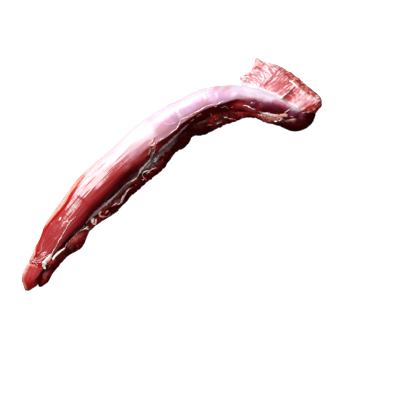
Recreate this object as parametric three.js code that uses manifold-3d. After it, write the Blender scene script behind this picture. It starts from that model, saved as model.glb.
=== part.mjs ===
// A raw venison fillet, lying on its flattened underside: the long tapering loin muscle, the knobbly side strap
// that runs along one flank of it, and the fan-shaped head flap at its thick end. The three are grown together,
// so they are one solid. Millimetres, +Z up, +X from the tail towards the head, +Y towards the flap's side.
import * as THREE from "three";
import { mergeVertices } from "three/addons/utils/BufferGeometryUtils.js";
import Module from "manifold-3d";

const wasm = await Module();
wasm.setup();

// ---- driving dimensions ------------------------------------------------------------------------------------

// How deep each muscle settles into the plane it lies on, which gives it its flat underside.
const SETTLE = 1.6;

// The solid is moved by this much so that its box stands centred on the origin.
const CENTRE_X = 13.8;
const CENTRE_Y = 7.56;

// Stations from the tail to the head: [x, y, half width, height], seen from above.
const LOIN_STATIONS = [
  [-191, -38.6, 4, 8],
  [-180, -31.2, 9.4, 13],
  [-166, -22.2, 8.6, 14.5],
  [-148, -12.8, 10.8, 18],
  [-126, -3.8, 14.4, 22.5],
  [-102, 3.2, 16.4, 26],
  [-76, 10, 17.8, 29],
  [-48, 14.8, 17.8, 31],
  [-20, 20, 17.6, 32],
  [8, 23.2, 16.8, 31.5],
  [36, 22.8, 15.6, 30.5],
  [62, 19.4, 15.6, 29.5],
  [84, 11.6, 14.8, 28],
  [102, -1.3, 13.4, 26],
  [115.8, -16.4, 11.4, 23.5],
  [127.8, -32.2, 9.2, 21],
  [141, -45, 5.4, 15],
];
const STRAP_STATIONS = [
  [-178, -42.6, 3, 6],
  [-169, -39, 4.2, 9],
  [-160, -34, 5, 10.5],
  [-150, -29.4, 6.4, 12],
  [-136, -26, 7.4, 13],
  [-122, -23.6, 8.2, 14],
  [-107, -17.8, 5.8, 13],
  [-90, -15, 6.4, 14],
  [-73, -14.4, 8.4, 15],
  [-53, -9.4, 7.4, 15.5],
  [-32, -5.2, 9.4, 16.5],
  [-11, -2.2, 9, 17],
  [7, 5.2, 8.8, 17],
  [22, 7, 10, 17.5],
  [34, 9, 9.8, 17.5],
  [50, 4.2, 10.8, 18],
  [66, 2.8, 10, 18],
  [82, -2, 9.2, 18],
  [96, -8.6, 6.4, 18],
  [108, -21, 6.8, 18.5],
  [119, -33, 7.2, 19.5],
  [130, -43.6, 12.4, 18.5],
  [141, -46, 9.8, 16],
  [152, -45.6, 5, 11],
];

// Both sections are a little fuller than an ellipse, widest at this share of their height, and this far down
// where they have closed at an end.
const SECTION_FULLNESS = { across: 0.92, up: 0.9 };
const WIDEST_AT = 0.46;
const END_WIDEST_AT = 0.4;

// How blunt the ends are: the section is full once the sine of its place along is over 1 / END_BLUNTNESS.
const END_BLUNTNESS = 3.2;

// Facets crowd towards the ends, by this much over an even share of the half turn.
const END_CROWDING = 0.35;

// The surface swells and sinks in waves that climb round the muscle: how many radians along its whole length,
// how many turns round it, how strong against the first, and how often the muscle's phase is added.
const WAVES = [
  { along: 23, around: 2, strength: 1, phases: 1 },
  { along: 41, around: -3, strength: 0.7, phases: 2 },
  { along: 67, around: 1, strength: 0.5, phases: 3 },
];
const LOIN_SWELL = { share: 0.022, phase: 0.6 };
const STRAP_SWELL = { share: 0.085, phase: 2.1 };

// The head flap is a slab around this middle point, and its outline is given as points round it.
const FLAP_MIDDLE = [136, -10];
const FLAP_OUTLINE = [
  [107, 24.6],
  [114, 23.4],
  [122, 25],
  [131.2, 31],
  [136, 23.2],
  [145.4, 14],
  [152.6, -1],
  [158.8, -19.8],
  [164, -38.4],
  [154, -47],
  [138, -44],
  [124, -30],
  [112, -8],
  [105, 10],
];
const FLAP_THICKNESS = 15;
const FLAP_RIM = 6.5;
const FLAP_DIP = 1.6;
const FLAP_SQUARENESS = { reach: 0.55, lift: 0.6 };

const LOIN_FACETS = { around: 30, along: 64 };
const STRAP_FACETS = { around: 18, along: 72 };
const FLAP_FACETS = { around: 60, along: 18 };

// The slab under the plane that the fillet lies on, larger than the fillet.
const GROUND = { length: 800, width: 400, depth: 40 };
const MERGE = 1e-3;

// ---- forms -------------------------------------------------------------------------------------------------

const power = (value, exponent) => Math.sign(value) * Math.abs(value) ** exponent;

// A smooth line through knots, open or closed.
const smooth = (knots, closed) => new THREE.CatmullRomCurve3(knots, closed, "catmullrom");

// A closed mesh of merged vertices as a solid that can be joined and cut.
function solidOf(shape) {
  shape.deleteAttribute("uv");
  shape.deleteAttribute("normal");
  const geometry = mergeVertices(shape, MERGE);
  return new wasm.Manifold(
    new wasm.Mesh({
      numProp: 3,
      vertProperties: new Float32Array(geometry.attributes.position.array),
      triVerts: new Uint32Array(geometry.index.array),
    }),
  );
}

// A ball of vertices, each moved to place(u, v): u from 0 to 1 round the form, v from 0 at its foot to 1.
function shaped(facets, place) {
  const ball = new THREE.SphereGeometry(1, facets.around, facets.along);
  const spot = ball.attributes.uv;
  const point = new THREE.Vector3();
  for (let i = 0; i < spot.count; i++) {
    place(spot.getX(i), THREE.MathUtils.clamp(spot.getY(i), 0, 1), point);
    ball.attributes.position.setXYZ(i, point.x, point.y, point.z);
  }
  return solidOf(ball);
}

// A muscle: an egg-shaped section carried along the line through its stations, rounded off at both ends.
function muscle(stations, facets, swell) {
  const line = smooth(stations.map(([x, y]) => new THREE.Vector3(x, y, 0)), false);
  const girth = smooth(stations.map(([, , half, height]) => new THREE.Vector3(half, height, 0)), false);
  const centre = new THREE.Vector3();
  const size = new THREE.Vector3();
  return shaped(facets, (u, v, point) => {
    const halfTurn = Math.PI * v;
    const along = 0.5 - 0.5 * Math.cos(halfTurn) * (1 - END_CROWDING * Math.sin(halfTurn) ** 2);
    line.getPoint(along, centre);
    girth.getPoint(along, size);
    const heading = line.getTangent(along);
    const closing = Math.sqrt(Math.min(1, Math.sin(halfTurn) * END_BLUNTNESS));
    const angle = -2 * Math.PI * u;
    const swelling = WAVES.reduce(
      (sum, wave) =>
        sum + wave.strength * Math.sin(wave.along * along + wave.around * angle + wave.phases * swell.phase),
      0,
    );
    const fullness = closing * (1 + swell.share * swelling);
    const across = size.x * fullness * power(Math.cos(angle), SECTION_FULLNESS.across);
    const middle = size.y * WIDEST_AT;
    const rise = Math.sin(angle) > 0 ? size.y - middle : middle + SETTLE;
    point.set(
      centre.x + across * heading.y,
      centre.y - across * heading.x,
      middle * THREE.MathUtils.lerp(END_WIDEST_AT, 1, closing) +
        rise * fullness * power(Math.sin(angle), SECTION_FULLNESS.up),
    );
  });
}

// The head flap: a slab whose rim is thin and whose top dips a little, over a closed outline.
function flap() {
  const [middleX, middleY] = FLAP_MIDDLE;
  const outline = smooth(FLAP_OUTLINE.map(([x, y]) => new THREE.Vector3(x - middleX, y - middleY, 0)), true);
  const edge = new THREE.Vector3();
  return shaped(FLAP_FACETS, (u, v, point) => {
    outline.getPoint(1 - (u % 1), edge);
    const reach = Math.sin(Math.PI * v) ** FLAP_SQUARENESS.reach;
    const lift = power(-Math.cos(Math.PI * v), FLAP_SQUARENESS.lift);
    const crown = FLAP_THICKNESS - FLAP_RIM - FLAP_DIP * Math.sin(Math.PI * reach);
    const height = lift > 0 ? crown * lift : (FLAP_RIM + SETTLE) * lift;
    point.set(middleX + edge.x * reach, middleY + edge.y * reach, FLAP_RIM + height);
  });
}

// Everything below the plane that the fillet lies on, to be cut away.
function ground() {
  const slab = new THREE.BoxGeometry(GROUND.length, GROUND.width, GROUND.depth);
  slab.translate(0, 0, -GROUND.depth / 2);
  return solidOf(slab);
}

function fillet() {
  const body = muscle(LOIN_STATIONS, LOIN_FACETS, LOIN_SWELL)
    .add(muscle(STRAP_STATIONS, STRAP_FACETS, STRAP_SWELL))
    .add(flap())
    .subtract(ground())
    .translate([CENTRE_X, CENTRE_Y, 0]);
  const made = body.getMesh();
  const geometry = new THREE.BufferGeometry();
  geometry.setAttribute("position", new THREE.BufferAttribute(made.vertProperties, 3));
  geometry.setIndex(new THREE.BufferAttribute(made.triVerts, 1));
  geometry.computeVertexNormals();
  return geometry;
}

// ---- the part ----------------------------------------------------------------------------------------------

const rawVenison = new THREE.MeshStandardMaterial({ color: 0x7a1a1e, roughness: 0.32, metalness: 0 });

const whole = new THREE.Mesh(fillet(), rawVenison);
whole.name = "fillet";

const part = new THREE.Group();
part.add(whole);

export default part;
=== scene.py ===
"""The looks of a raw venison fillet: three muscles grown together, with silverskin, sinews, films and fat.

The fillet lies on its flattened underside. Lengths are millimetres in the fillet's own plan, with x from the
tail towards the head and y towards the bowed side, until a mesh is written, which is in metres in the frame.
Every surface is a closed stack of rings, worked out as whole arrays.
"""

from __future__ import annotations

import itertools
import logging
import math
from dataclasses import dataclass, field
from enum import Enum
from typing import Mapping, Sequence

import bpy
import numpy as np
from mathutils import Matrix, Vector

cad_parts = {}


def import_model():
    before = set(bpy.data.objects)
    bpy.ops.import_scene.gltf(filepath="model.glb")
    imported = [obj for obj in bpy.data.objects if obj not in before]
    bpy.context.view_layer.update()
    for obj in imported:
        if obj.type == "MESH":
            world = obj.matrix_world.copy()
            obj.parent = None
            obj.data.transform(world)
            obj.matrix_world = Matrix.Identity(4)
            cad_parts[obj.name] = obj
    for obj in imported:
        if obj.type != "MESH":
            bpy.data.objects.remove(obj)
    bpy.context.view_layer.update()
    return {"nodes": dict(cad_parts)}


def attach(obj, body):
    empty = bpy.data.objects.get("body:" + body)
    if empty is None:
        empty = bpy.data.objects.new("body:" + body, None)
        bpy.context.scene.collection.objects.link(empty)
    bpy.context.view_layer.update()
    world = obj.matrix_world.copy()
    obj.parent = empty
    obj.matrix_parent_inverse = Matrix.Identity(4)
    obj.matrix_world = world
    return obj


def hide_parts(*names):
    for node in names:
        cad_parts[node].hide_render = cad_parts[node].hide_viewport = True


Array = np.ndarray
Colour = tuple[float, float, float]
Pair = tuple[float, float]
Run = tuple[float, ...]
Spot = tuple[float, float, float, float]
Socket = bpy.types.NodeSocket

LOG = logging.getLogger("venison_fillet")
METRE = 0.001
PLAN_SHIFT = (13.8, 7.56, 0.0)
BODY = "root"
NODE = "fillet"
GRAIN = "grain"
# How deep the muscles settle into the plane that they lie on, in millimetres.
SETTLE = 1.6
# How wide folded noise's valleys are, as a share of its range.
VALLEY = 0.16

# The noise's hash: whole numbers that scatter a corner's place over a word, whose low bits are its value.
SEED_PRIME = 7919
LAYER_SEEDS = 31
AXIS_PRIMES = (374761393, 668265263, 2147483629)
FIRST_STIR = 1274126177
LAST_STIR = 2246822519
WORD = 2**32
LEVELS = 65535


class Slot(Enum):
    """Material slot names, listed with the tissues' finishes; no piece is given one."""

    LEAN = "lean_meat"
    SILVER = "silverskin"
    FAT = "fat_and_sinew"


# ---- arithmetic on whole arrays ----------------------------------------------------------------------------


def ramp(value: Array | float, low: float, high: float) -> Array:
    """Rises smoothly from 0 where value is low to 1 where it is high, as 3t^2 - 2t^3.

    Args:
        value: What is measured.
        low: Where the ramp starts. It may be above high, and the ramp then falls.
        high: Where the ramp ends.

    Returns:
        The ramp's height at every value.
    """
    share = np.clip((np.asarray(value, float) - low) / (high - low), 0.0, 1.0)
    return share * share * (3.0 - 2.0 * share)


def stretch(value: Array | float, start: float, full: float, fading: float, end: float) -> Array:
    """Rises from 0 at start to 1 where it is full, and falls from where it is fading to 0 at its end."""
    return ramp(value, start, full) * ramp(value, end, fading)


def bump(value: Array, width: float) -> Array:
    """Bell curve exp(-(value / width)^2): 1 where value is 0, and near 0 past two widths."""
    return np.exp(-((value / width) ** 2))


def signed_power(value: Array, exponent: float) -> Array:
    """Value raised to a power with its sign kept."""
    return np.sign(value) * np.abs(value) ** exponent


def spline(knots: Sequence[Sequence[float]], share: Array, closed: bool = False) -> Array:
    """Points on a smooth line through knots.

    Between two knots the line is the cubic whose slope at each of them is half the step between its two
    neighbours. Past an open end, the missing neighbour is the mirror of the one on the other side.

    Args:
        knots: The points that the line passes, of any dimension.
        share: Where the points are wanted, from 0 at the first knot to 1 at the last.
        closed: Whether the line returns to its first knot.

    Returns:
        One point for each share, along a new last axis.
    """
    fixed = np.asarray(knots, float)
    if closed:
        count = len(fixed)
        padded = np.vstack([fixed[-1:], fixed, fixed[:2]])
    else:
        count = len(fixed) - 1
        padded = np.vstack([2 * fixed[0] - fixed[1], fixed, 2 * fixed[-1] - fixed[-2]])
    place = np.clip(share, 0.0, 1.0) * count
    first = np.minimum(place.astype(int), count - 1)
    t = (place - first)[..., None]
    before, start, end, after = (padded[first + step] for step in range(4))
    bend = 2 * before - 5 * start + 4 * end - after
    twist = 3 * start - before - 3 * end + after
    return 0.5 * (2 * start + (end - before) * t + bend * t**2 + twist * t**3)


def unit(vectors: Array) -> Array:
    """Vectors on the last axis, each divided by its own length."""
    return vectors / np.maximum(np.linalg.norm(vectors, axis=-1, keepdims=True), 1e-9)


@dataclass(frozen=True)
class Noise:
    """Smooth noise, the same on every run: random values at whole-number corners, blended between them."""

    seed: int

    def at(self, *axes: Array) -> Array:
        """Noise from -1 to 1, one feature for each unit of every axis.

        Each corner of the cell that holds a point has a value hashed from its whole numbers. The point takes
        the corners' values, weighted along each axis by the smooth ramp of its place in the cell.

        Args:
            axes: The coordinates, all of one shape.

        Returns:
            The noise at every point.
        """
        cells = [np.floor(axis).astype(np.int64) for axis in axes]
        rise = [ramp(axis - cell, 0.0, 1.0) for axis, cell in zip(axes, cells)]
        total = np.zeros(np.shape(axes[0]))
        for corner in itertools.product((0, 1), repeat=len(axes)):
            key = np.full(total.shape, self.seed * SEED_PRIME, np.int64)
            weight = np.ones(total.shape)
            for cell, climb, step, prime in zip(cells, rise, corner, AXIS_PRIMES):
                key = (key ^ ((cell + step) * prime)) * FIRST_STIR % WORD
                weight = weight * (climb if step else 1.0 - climb)
            key = (key ^ (key >> 15)) * LAST_STIR % WORD
            total += weight * (((key ^ (key >> 13)) & LEVELS) / (LEVELS / 2) - 1.0)
        return total

    def layered(self, *axes: Array, layers: int = 3) -> Array:
        """Noise plus finer noise: each layer is twice as fine as the one before and half as strong.

        Args:
            axes: The coordinates, all of one shape.
            layers: How many layers there are.

        Returns:
            The noise, from -1 to 1.
        """
        total = sum(
            Noise(self.seed + LAYER_SEEDS * layer).at(*(axis * 2.0**layer for axis in axes)) * 0.5**layer
            for layer in range(layers)
        )
        return total / (2.0 - 0.5 ** (layers - 1))


@dataclass(frozen=True)
class PlanPath:
    """A smooth line through a few spots of the plan, seen from above."""

    spots: tuple[tuple[float, float], ...]
    pieces: int = 48

    def from_points(self, x: Array, y: Array) -> tuple[Array, Array]:
        """How far points lie from the line.

        Args:
            x: The points' x.
            y: The points' y.

        Returns:
            The distance, positive on the left of the way that the line runs, and the share of the line
            passed at the nearest spot, from 0 to 1.
        """
        line = spline(self.spots, np.linspace(0.0, 1.0, self.pieces + 1))
        nearest = np.full(np.shape(x), np.inf)
        signed = np.zeros(np.shape(x))
        share = np.zeros(np.shape(x))
        for index, (start, end) in enumerate(zip(line[:-1], line[1:])):
            run = end - start
            along = np.clip(((x - start[0]) * run[0] + (y - start[1]) * run[1]) / (run @ run), 0.0, 1.0)
            off_x = x - start[0] - along * run[0]
            off_y = y - start[1] - along * run[1]
            distance = np.hypot(off_x, off_y)
            closer = distance < nearest
            nearest = np.where(closer, distance, nearest)
            signed = np.where(closer, np.where(run[0] * off_y > run[1] * off_x, distance, -distance), signed)
            share = np.where(closer, (index + along) / self.pieces, share)
        return signed, share

    def near(self, x: Array, y: Array, width: float, fade: float = 0.12) -> Array:
        """Bell curve across the line that fades out towards both of its ends."""
        signed, share = self.from_points(x, y)
        return bump(signed, width) * ramp(share, 0.0, fade) * ramp(share, 1.0, 1.0 - fade)


# ---- closed surfaces ---------------------------------------------------------------------------------------


@dataclass
class Shell:
    """A closed surface made of a stack of closed rings, with a point over the first and the last ring.

    Attributes:
        rings: The points, as rows of rings of points, in millimetres.
        grain: Each point's place in the straightened piece: along it, and across it twice.
        masks: Named values at each point, from 0 to 1, that the finishes read.
    """

    rings: Array
    grain: Array
    masks: dict[str, Array] = field(default_factory=dict)

    def facing(self) -> Array:
        """Unit normals: the step along the stack crossed with the step round the ring."""
        along = np.gradient(self.rings, axis=0)
        around = np.roll(self.rings, -1, axis=1) - np.roll(self.rings, 1, axis=1)
        return unit(np.cross(along, around))

    def pushed(self, amount: Array) -> None:
        """Moves every point outwards along its normal by an amount in millimetres."""
        self.rings = self.rings + self.facing() * amount[..., None]

    def settled(self) -> None:
        """Flattens the underside on the plane that the fillet lies on."""
        self.rings[..., 2] = np.maximum(self.rings[..., 2], 0.0)

    def points(self) -> Array:
        """Every ring's points and the two end points, in the order that corners() counts them."""
        return np.vstack([self.rings.reshape(-1, 3), self.rings[0].mean(0), self.rings[-1].mean(0)])

    def values(self, grid: Array) -> Array:
        """A grid of values in the same order as points()."""
        flat = grid.reshape(-1, *grid.shape[2:])
        return np.concatenate([flat, grid[:1].mean(1), grid[-1:].mean(1)])

    def corners(self) -> tuple[Array, Array]:
        """Four-sided faces between rings, and three-sided faces that close the two ends.

        Returns:
            The corners of each four-sided face and of each three-sided face, turned so that they face out.
        """
        rows, columns = self.rings.shape[:2]
        here = np.arange(rows * columns).reshape(rows, columns)
        beside = np.roll(here, -1, axis=1)
        quads = np.stack([here[:-1], here[1:], beside[1:], beside[:-1]], -1).reshape(-1, 4)
        foot = np.full(columns, rows * columns)
        tip = foot + 1
        ends = np.vstack(
            [np.stack([foot, here[0], beside[0]], -1), np.stack([tip, beside[-1], here[-1]], -1)]
        )
        points = self.points()
        a, b, c = (points[quads[:, corner]] for corner in (0, 1, 2))
        if np.einsum("ij,ij->i", a, np.cross(b, c)).sum() < 0.0:
            quads, ends = quads[:, ::-1], ends[:, ::-1]
        return quads, ends


def write_faces(mesh: bpy.types.Mesh, quads: Array, ends: Array) -> None:
    """Puts smooth four-sided and three-sided faces into a mesh that has its vertices.

    Args:
        mesh: The mesh.
        quads: The vertex numbers of each four-sided face.
        ends: The vertex numbers of each three-sided face.
    """
    mesh.loops.add(quads.size + ends.size)
    mesh.loops.foreach_set("vertex_index", np.concatenate([quads.ravel(), ends.ravel()]).astype(np.int32))
    mesh.polygons.add(len(quads) + len(ends))
    starts = np.concatenate([np.arange(len(quads)) * 4, quads.size + np.arange(len(ends)) * 3])
    mesh.polygons.foreach_set("loop_start", starts.astype(np.int32))
    mesh.polygons.foreach_set("use_smooth", np.ones(len(starts), bool))
    mesh.update(calc_edges=True)


def write_values(mesh: bpy.types.Mesh, name: str, values: Array) -> None:
    """Puts a number or a vector for each vertex into a mesh, under a name that materials read."""
    kind, key = ("FLOAT", "value") if values.ndim == 1 else ("FLOAT_VECTOR", "vector")
    attribute = mesh.attributes.new(name, kind, "POINT")
    attribute.data.foreach_set(key, values.astype(np.float32).ravel())


def mesh_piece(
    name: str, shells: Sequence[Shell], finish: bpy.types.Material
) -> bpy.types.Object:
    """Writes closed surfaces into one mesh object that rides with the fillet and stands for its solid.

    Args:
        name: The piece's name.
        shells: The surfaces, which all have the same masks.
        finish: The material.

    Returns:
        The object, at the origin, with its place in its mesh.
    """
    points = [shell.points() for shell in shells]
    starts = np.cumsum([0] + [len(part) for part in points])[:-1]
    faces = [shell.corners() for shell in shells]
    quads, ends = (
        np.vstack([part[kind] + start for part, start in zip(faces, starts)]) for kind in (0, 1)
    )
    mesh = bpy.data.meshes.new(name)
    places = (np.vstack(points) + PLAN_SHIFT) * METRE
    mesh.vertices.add(len(places))
    mesh.vertices.foreach_set("co", places.astype(np.float32).ravel())
    write_faces(mesh, quads, ends)
    write_values(mesh, GRAIN, np.vstack([shell.values(shell.grain) for shell in shells]))
    for mask in sorted(shells[0].masks):
        write_values(mesh, mask, np.concatenate([shell.values(shell.masks[mask]) for shell in shells]))
    mesh.materials.append(finish)
    mesh.validate()
    piece = bpy.data.objects.new(name, mesh)
    bpy.context.scene.collection.objects.link(piece)
    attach(piece, BODY)
    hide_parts(NODE)
    LOG.info("%s: %d surfaces, %d faces", name, len(shells), len(mesh.polygons))
    return piece


@dataclass
class Relief:
    """How high the muscles' upper side is over every spot of the plan, on a square grid."""

    low: Array
    cell: float
    heights: Array

    @classmethod
    def over(cls, shells: Sequence[Shell], cell: float = 0.4, splits: int = 3) -> Relief:
        """Takes the highest of many points of the surfaces in each cell.

        The rings are first refined by blending neighbouring points, so that every cell gets a point, and
        the few empty cells then take the highest of their neighbours.

        Args:
            shells: The surfaces.
            cell: The cell's side in millimetres.
            splits: How many points each step between neighbours becomes.

        Returns:
            The relief.
        """
        clouds = []
        for shell in shells:
            beside = np.roll(shell.rings, -1, axis=1)
            for i, j in itertools.product(range(splits), repeat=2):
                row = shell.rings * (1 - j / splits) + beside * (j / splits)
                clouds.append((row[:-1] * (1 - i / splits) + row[1:] * (i / splits)).reshape(-1, 3))
        cloud = np.vstack(clouds)
        low = cloud[:, :2].min(0) - 4 * cell
        size = np.ceil((cloud[:, :2].max(0) + 4 * cell - low) / cell).astype(int)
        heights = np.zeros(size)
        cells = ((cloud[:, :2] - low) / cell).astype(int)
        np.maximum.at(heights, (cells[:, 0], cells[:, 1]), cloud[:, 2])
        for axis, step in itertools.product((0, 1), (-1, 1)):
            heights = np.where(heights > 0.0, heights, np.roll(heights, step, axis=axis))
        return cls(low, cell, heights)

    def softened(self, reach: float) -> Relief:
        """The same relief with every height the mean of a square about reach wide, taken three times."""
        width = max(int(reach / self.cell / 2) * 2 + 1, 3)
        heights = self.heights
        for axis in (0, 1) * 3:
            edges = [(0, 0), (0, 0)]
            edges[axis] = (width // 2 + 1, width // 2)
            padded = np.pad(heights, edges, "edge")
            total = np.cumsum(padded, axis=axis)
            upper = np.take(total, range(width, total.shape[axis]), axis=axis)
            lower = np.take(total, range(0, total.shape[axis] - width), axis=axis)
            heights = (upper - lower) / width
        return Relief(self.low, self.cell, heights)

    def at(self, x: Array, y: Array) -> Array:
        """Height over spots of the plan, blended from the four nearest cells.

        Args:
            x: The spots' x.
            y: The spots' y.

        Returns:
            The heights in millimetres.
        """
        i = np.clip((x - self.low[0]) / self.cell - 0.5, 0, self.heights.shape[0] - 1.001)
        j = np.clip((y - self.low[1]) / self.cell - 0.5, 0, self.heights.shape[1] - 1.001)
        row, column = i.astype(int), j.astype(int)
        a, b = i - row, j - column
        near = self.heights[row, column] * (1 - a) + self.heights[row + 1, column] * a
        far = self.heights[row, column + 1] * (1 - a) + self.heights[row + 1, column + 1] * a
        return near * (1 - b) + far * b


# ---- finishes ----------------------------------------------------------------------------------------------


@dataclass(frozen=True)
class Pattern:
    """A noise for a finish, with one feature for each pitch in millimetres.

    Attributes:
        along: The pitch along the piece's grain, or in every direction where there is no across.
        across: The pitch across the grain.
        detail: How many times it is refined.
        roughness: How strong the finer parts are.
    """

    along: float
    across: float | None = None
    detail: float = 2.0
    roughness: float = 0.5


@dataclass(frozen=True)
class Wetness:
    """The moist film on a surface, and how far light wanders under it."""

    coat: float = 0.5
    coat_roughness: float = 0.14
    specular: float = 0.5
    depth: float = 0.25
    radius: Colour = (1.0, 0.30, 0.24)
    scale: float = 2.5


class Bench:
    """Puts the nodes of one material in place and joins them."""

    def __init__(self, name: str) -> None:
        """Makes an empty node material with one Principled shader."""
        self.material = bpy.data.materials.new(name)
        self.material.use_nodes = True
        self.tree = self.material.node_tree
        self.shader = self.tree.nodes["Principled BSDF"]

    def node(self, kind: str, inputs: Mapping[str | int, object], **settings: object) -> bpy.types.Node:
        """Adds a node.

        Args:
            kind: Blender's name for the kind of node.
            inputs: What each input is joined to or set to, by its name or place.
            settings: The node's own properties.

        Returns:
            The node.
        """
        made = self.tree.nodes.new(kind)
        for key, value in settings.items():
            setattr(made, key, value)
        self.fill(made, inputs)
        return made

    def fill(self, node: bpy.types.Node, inputs: Mapping[str | int, object]) -> None:
        """Joins a node's inputs to outputs, or sets them to plain values."""
        for key, value in inputs.items():
            socket = node.inputs[key]
            if isinstance(value, bpy.types.NodeSocket):
                self.tree.links.new(value, socket)
            elif isinstance(value, tuple) and socket.type == "RGBA":
                socket.default_value = (*value, 1.0)
            else:
                socket.default_value = value

    def mask(self, name: str) -> Socket:
        """The value of a named mask."""
        return self.node("ShaderNodeAttribute", {}, attribute_name=name).outputs["Fac"]

    def noise(self, pattern: Pattern) -> Socket:
        """A pattern's noise, from 0 to 1, in the piece's grain or, with one pitch, in object coordinates."""
        if pattern.across is None:
            source = self.node("ShaderNodeTexCoord", {}).outputs["Object"]
            factor = [1.0 / pattern.along / METRE] * 3
        else:
            source = self.node("ShaderNodeAttribute", {}, attribute_name=GRAIN).outputs["Vector"]
            factor = [1.0 / pattern.along, 1.0 / pattern.across, 1.0 / pattern.across]
        scaled = self.node("ShaderNodeVectorMath", {0: source, 1: factor}, operation="MULTIPLY")
        space = {"Vector": scaled.outputs["Vector"], "Scale": 1.0}
        finer = {"Detail": pattern.detail, "Roughness": pattern.roughness}
        return self.node("ShaderNodeTexNoise", {**space, **finer}).outputs["Fac"]

    def ramp(self, value: Socket, low: float, high: float, floor: float = 0.0, top: float = 1.0) -> Socket:
        """A smooth ramp from floor, where value is low, to top, where it is high."""
        inputs = {"Value": value, "From Min": low, "From Max": high, "To Min": floor, "To Max": top}
        return self.node("ShaderNodeMapRange", inputs, interpolation_type="SMOOTHSTEP").outputs["Result"]

    def maths(self, operation: str, first: object, second: object) -> Socket:
        """The result of one arithmetic operation on two values, kept between 0 and 1."""
        made = self.node("ShaderNodeMath", {0: first, 1: second}, operation=operation, use_clamp=True)
        return made.outputs["Value"]

    def blend(self, share: object, under: object, over: object) -> Socket:
        """One colour over another, by a share from 0 to 1."""
        return self.node("ShaderNodeMix", {0: share, 6: under, 7: over}, data_type="RGBA").outputs[2]

    def painted(self, colour: object, **tones: Colour) -> Socket:
        """A colour with tones laid over it in turn, each as strong as the mask of its name."""
        for name, tone in tones.items():
            colour = self.blend(self.mask(name), colour, tone)
        return colour

    def raised(self, *heights: tuple[Socket, float]) -> Socket:
        """The normal of bumps on top of one another, each a pattern and its height in millimetres."""
        normal = {}
        for pattern, height in heights:
            inputs = {"Strength": 1.0, "Distance": height * METRE, "Height": pattern, **normal}
            normal = {"Normal": self.node("ShaderNodeBump", inputs).outputs["Normal"]}
        return normal["Normal"]

    def dressed(self, colour: Socket, rough: Socket, normal: Socket, wet: Wetness) -> bpy.types.Material:
        """Joins the finish to the shader.

        Args:
            colour: The base colour.
            rough: The roughness.
            normal: The bumped normal.
            wet: The moist film and the soft light inside.

        Returns:
            The finished material.
        """
        film = {
            "Coat Weight": wet.coat,
            "Coat Roughness": wet.coat_roughness,
            "Specular IOR Level": wet.specular,
            "Subsurface Weight": wet.depth,
            "Subsurface Radius": wet.radius,
            "Subsurface Scale": wet.scale * METRE,
        }
        self.fill(self.shader, {"Base Color": colour, "Roughness": rough, "Normal": normal, **film})
        return self.material


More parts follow.
